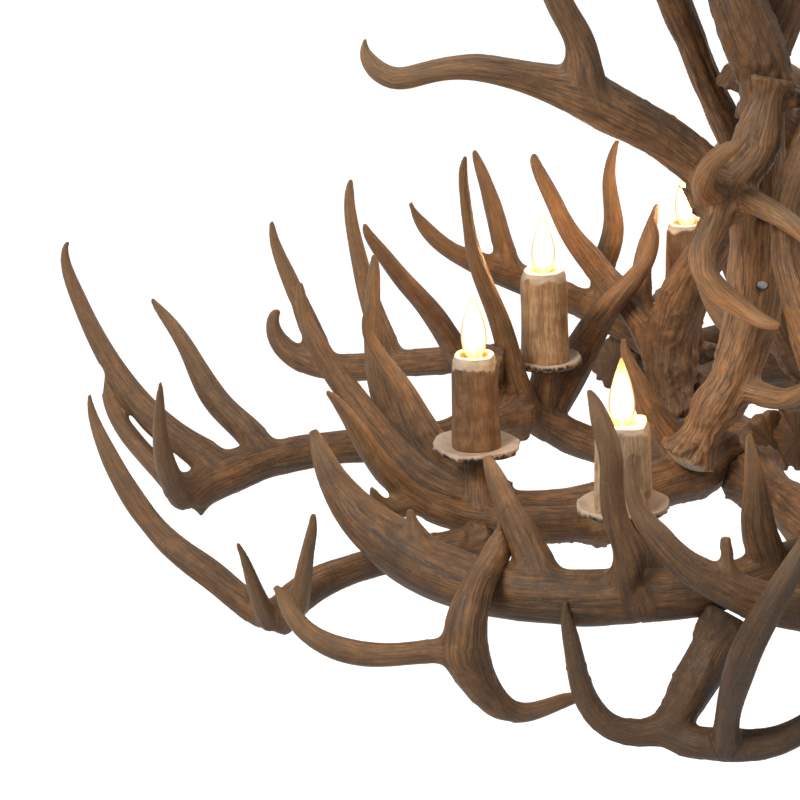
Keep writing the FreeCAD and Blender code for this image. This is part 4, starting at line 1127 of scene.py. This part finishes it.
# The screw base's contact, as radius and height above its tip, and its collar under the glass.
CONTACT = ((0.0, 0.0), (0.0022, 0.0), (0.0026, 0.0012), (0.0046, 0.0026))
COLLAR = ((0.0058, -0.0012), (0.0074, -0.0006), (0.0075, 0.0012), (0.0, 0.0012))
THREAD_PITCH, THREAD_ROOT, THREAD_CREST = 0.0021, 0.0057, 0.0062
THREAD_START, UNTHREADED = 0.0034, 0.0055
# The glass post that holds the wire: its radii, and its heights, the last two as shares.
POST_RADII = (0.0032, 0.0020, 0.0014)
POST_HEIGHTS = (0.001, 0.010, 0.26, 0.27)
WIRE_RADIUS = 0.00035
# How far out the wire is, and how high as a share of the glass, from its foot to its top.
WIRE_RUN, WIRE_TOP = ((0.0012, 0.24), (0.0030, 0.32), (0.0046, 0.42), (0.0026, 0.56)), 0.62
BULB_WATTS, GLOW_HEIGHT, GLOW_SIZE = 2.4, 0.42, 0.012
BULB_COLOUR = (1.0, 0.60, 0.27)


def bulb_measures(place, side="left"):
    """The middle of the glass's foot, its radius and its height, and the screw base's depth."""
    low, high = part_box(f"{place}_bulb_{side}")
    foot_height = candle(place)[0][2] + candle(place)[2] - NECK_SINK + NECK_GAP
    foot = ((low[0] + high[0]) / 2, (low[1] + high[1]) / 2, foot_height)
    return foot, (high[0] - low[0]) / 2, high[2] - foot_height, foot_height - low[2]


def tube_along(name, points, radius):
    """A wire: a smooth curve through the points with a round section, made a mesh."""
    curve = bpy.data.curves.new(name, "CURVE")
    curve.dimensions = "3D"
    curve.bevel_depth = radius
    curve.bevel_resolution = 2
    curve.use_fill_caps = True
    spline = curve.splines.new("NURBS")
    spline.points.add(len(points) - 1)
    for knot, point in zip(spline.points, points):
        knot.co = (*point, 1)
    spline.order_u = 3
    spline.use_endpoint_u = True
    only(linked(name, curve))
    bpy.ops.object.convert(target="MESH")
    return bpy.context.object


def glass_envelope(place):
    foot, radius, height, _ = bulb_measures(place)
    outer = [(r * radius, z * height) for r, z in GLASS_OUTLINE]
    outer[0] = (GLASS_NECK, 0.0)
    inner = [(max(r - GLASS_WALL, 0), min(z, height - 2 * GLASS_WALL)) for r, z in outer]
    closed = outer + inner[::-1] + outer[:1]
    envelope = spin_profile(f"{place}_glass_left", closed, foot, GLASS_STEPS)
    apply_modifier(envelope, "SUBSURF", levels=1, render_levels=1)
    return envelope


def bulb_base(place):
    foot, _, _, depth = bulb_measures(place)
    screw = [(out, -depth + up) for out, up in CONTACT]
    turns = int((depth - UNTHREADED) / THREAD_PITCH)
    for turn in range(turns):
        level = -depth + THREAD_START + turn * THREAD_PITCH
        screw += [(THREAD_ROOT, level), (THREAD_CREST, level + THREAD_PITCH / 2)]
    screw += COLLAR
    return spin_profile(f"{place}_screw_base_left", screw, foot, SCREW_STEPS)


def bulb_wires(place):
    foot, _, height, _ = bulb_measures(place)
    x, y, z = foot
    foot_radius, waist, neck = POST_RADII
    base, middle, top, end = POST_HEIGHTS
    post = [(0.0, base), (foot_radius, base), (waist, middle), (neck, height * top),
            (0.0, height * end)]
    stem = spin_profile(f"{place}_glass_stem_left", post, foot, STEM_STEPS)
    path = [(x - out, y, z + height * level) for out, level in WIRE_RUN]
    path.append((x, y, z + height * WIRE_TOP))
    path += [(x + out, y, z + height * level) for out, level in WIRE_RUN[::-1]]
    wire = tube_along(f"{place}_glow_wire_left", path, WIRE_RADIUS)
    return stem, wire


# %% Glass, brass and glowing wire
GLASS_EDGE = (0.36, 0.17, 0.06)       # the tan outline that the lit glass shows
GLOW_OUTER, GLOW_HEART = (0.95, 0.56, 0.26), (1.0, 0.93, 0.78)
GLASS_BODY = (0.55, 0.36, 0.20)


def glass_paint(place):
    """Clear glass that is brightest round its wire and shows more of itself at its edges."""
    foot, _, height, _ = bulb_measures(place)
    paint = Paint(f"{place}_lit_glass")
    rise = paint.node("ShaderNodeSeparateXYZ", None, {"Vector": paint.place()}, "Z")
    level = (rise - foot[2]) / height
    glow = level.ease(0.02, 0.34) * (1 - level.ease(0.50, 0.93))
    facing = paint.node("ShaderNodeLayerWeight", None, {"Blend": 0.5}, "Facing")
    edge = facing.ease(0.22, 0.82)
    core = paint.mix(glow, GLOW_OUTER, GLOW_HEART)
    tint = paint.mix(edge, core, GLASS_EDGE)
    return paint.finish(GLASS_BODY, 0.08, Alpha=0.12 + glow * 0.34 + edge * 0.62,
                        Emission_Color=tint, Emission_Strength=0.9, IOR=1.45,
                        Specular_IOR_Level=0.12)


def plain_paint(name, colour, roughness, metallic=0.0, scale=300, **others):
    """A plain finish with slight marks, so that no surface is one flat colour."""
    paint = Paint(name)
    marks = paint.noise(paint.place(), scale, 3)
    darker = tuple(channel * 0.72 for channel in colour)
    tone = paint.mix(marks.ease(0.35, 0.7), darker, colour)
    rough = roughness - 0.06 + marks * 0.14
    relief = paint.bump(marks, 0.0003, 0.4)
    return paint.finish(tone, rough, Metallic=metallic, Normal=relief, **others)


brass_finish = plain_paint("lamp_brass", (0.60, 0.41, 0.16), 0.32, 1.0)
stem_finish = plain_paint("bulb_stem_glass", (0.85, 0.80, 0.70), 0.2, Emission_Strength=1.2,
                          Emission_Color=(1.0, 0.72, 0.42, 1))
wire_finish = plain_paint("glowing_wire", (1.0, 0.8, 0.5), 0.5, Emission_Strength=14.0,
                          Emission_Color=(1.0, 0.74, 0.40, 1))


def add_bulb(place):
    stem, wire = bulb_wires(place)
    pieces = [glass_envelope(place), bulb_base(place), stem, wire]
    finishes = [glass_paint(place), brass_finish, stem_finish, wire_finish]
    for piece, finish in zip(pieces, finishes):
        piece.data.materials.append(finish)
    slots = ("bulb_glass", "brass", "bulb_glass", "bulb_glass")
    for side in SIDES:
        for piece, slot in zip(pieces, slots):
            if side == "right":
                piece = half_turned(piece, piece.name.replace("_left", "_right"))
            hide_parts(f"{place}_bulb_{side}")
            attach(piece, f"{place}_lamp_{side}")


def add_bulb_lamps():
    for place in PLACES:
        foot, _, height, _ = bulb_measures(place)
        for side, sign in zip(SIDES, (1, -1)):
            middle = (sign * foot[0], sign * foot[1], foot[2] + height * GLOW_HEIGHT)
            bpy.ops.object.light_add(type="POINT", location=middle)
            lamp = bpy.context.object
            lamp.name = f"{place}_glow_{side}"
            lamp.data.energy = BULB_WATTS
            lamp.data.color = BULB_COLOUR
            lamp.data.shadow_soft_size = GLOW_SIZE


for place in PLACES:
    add_bulb(place)
add_bulb_lamps()
print("bulbs:", 2 * len(PLACES))

# %% [markdown]
# The fittings keep their CAD shapes, which are right as they are: sockets, nipples, nuts, pins,
# bolts, the pipe, its cap with the eye, and the ring. They only need a finish each. A CAD
# node's material is changed in its slots and its mesh is left alone.

# %% Fittings
steel_finish = plain_paint("plain_steel", (0.42, 0.42, 0.43), 0.38, 1.0)
socket_finish = plain_paint("black_socket", (0.030, 0.028, 0.027), 0.42)
iron_finish = plain_paint("bronze_iron", (0.060, 0.043, 0.030), 0.46, 0.6, scale=160)
FITTINGS = {
    "lamp_sockets": socket_finish, "lamp_nipples": brass_finish, "nipple_nuts": brass_finish,
    "joining_pins": steel_finish, "cross_bolts": steel_finish, "centre_stem": iron_finish,
    "stem_loop": iron_finish, "hanging_ring": iron_finish,
}
for node, finish in FITTINGS.items():
    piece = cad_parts[node]
    if not piece.material_slots:
        piece.data.materials.append(finish)
    for slot in piece.material_slots:
        slot.material = finish
print("fittings:", len(FITTINGS))
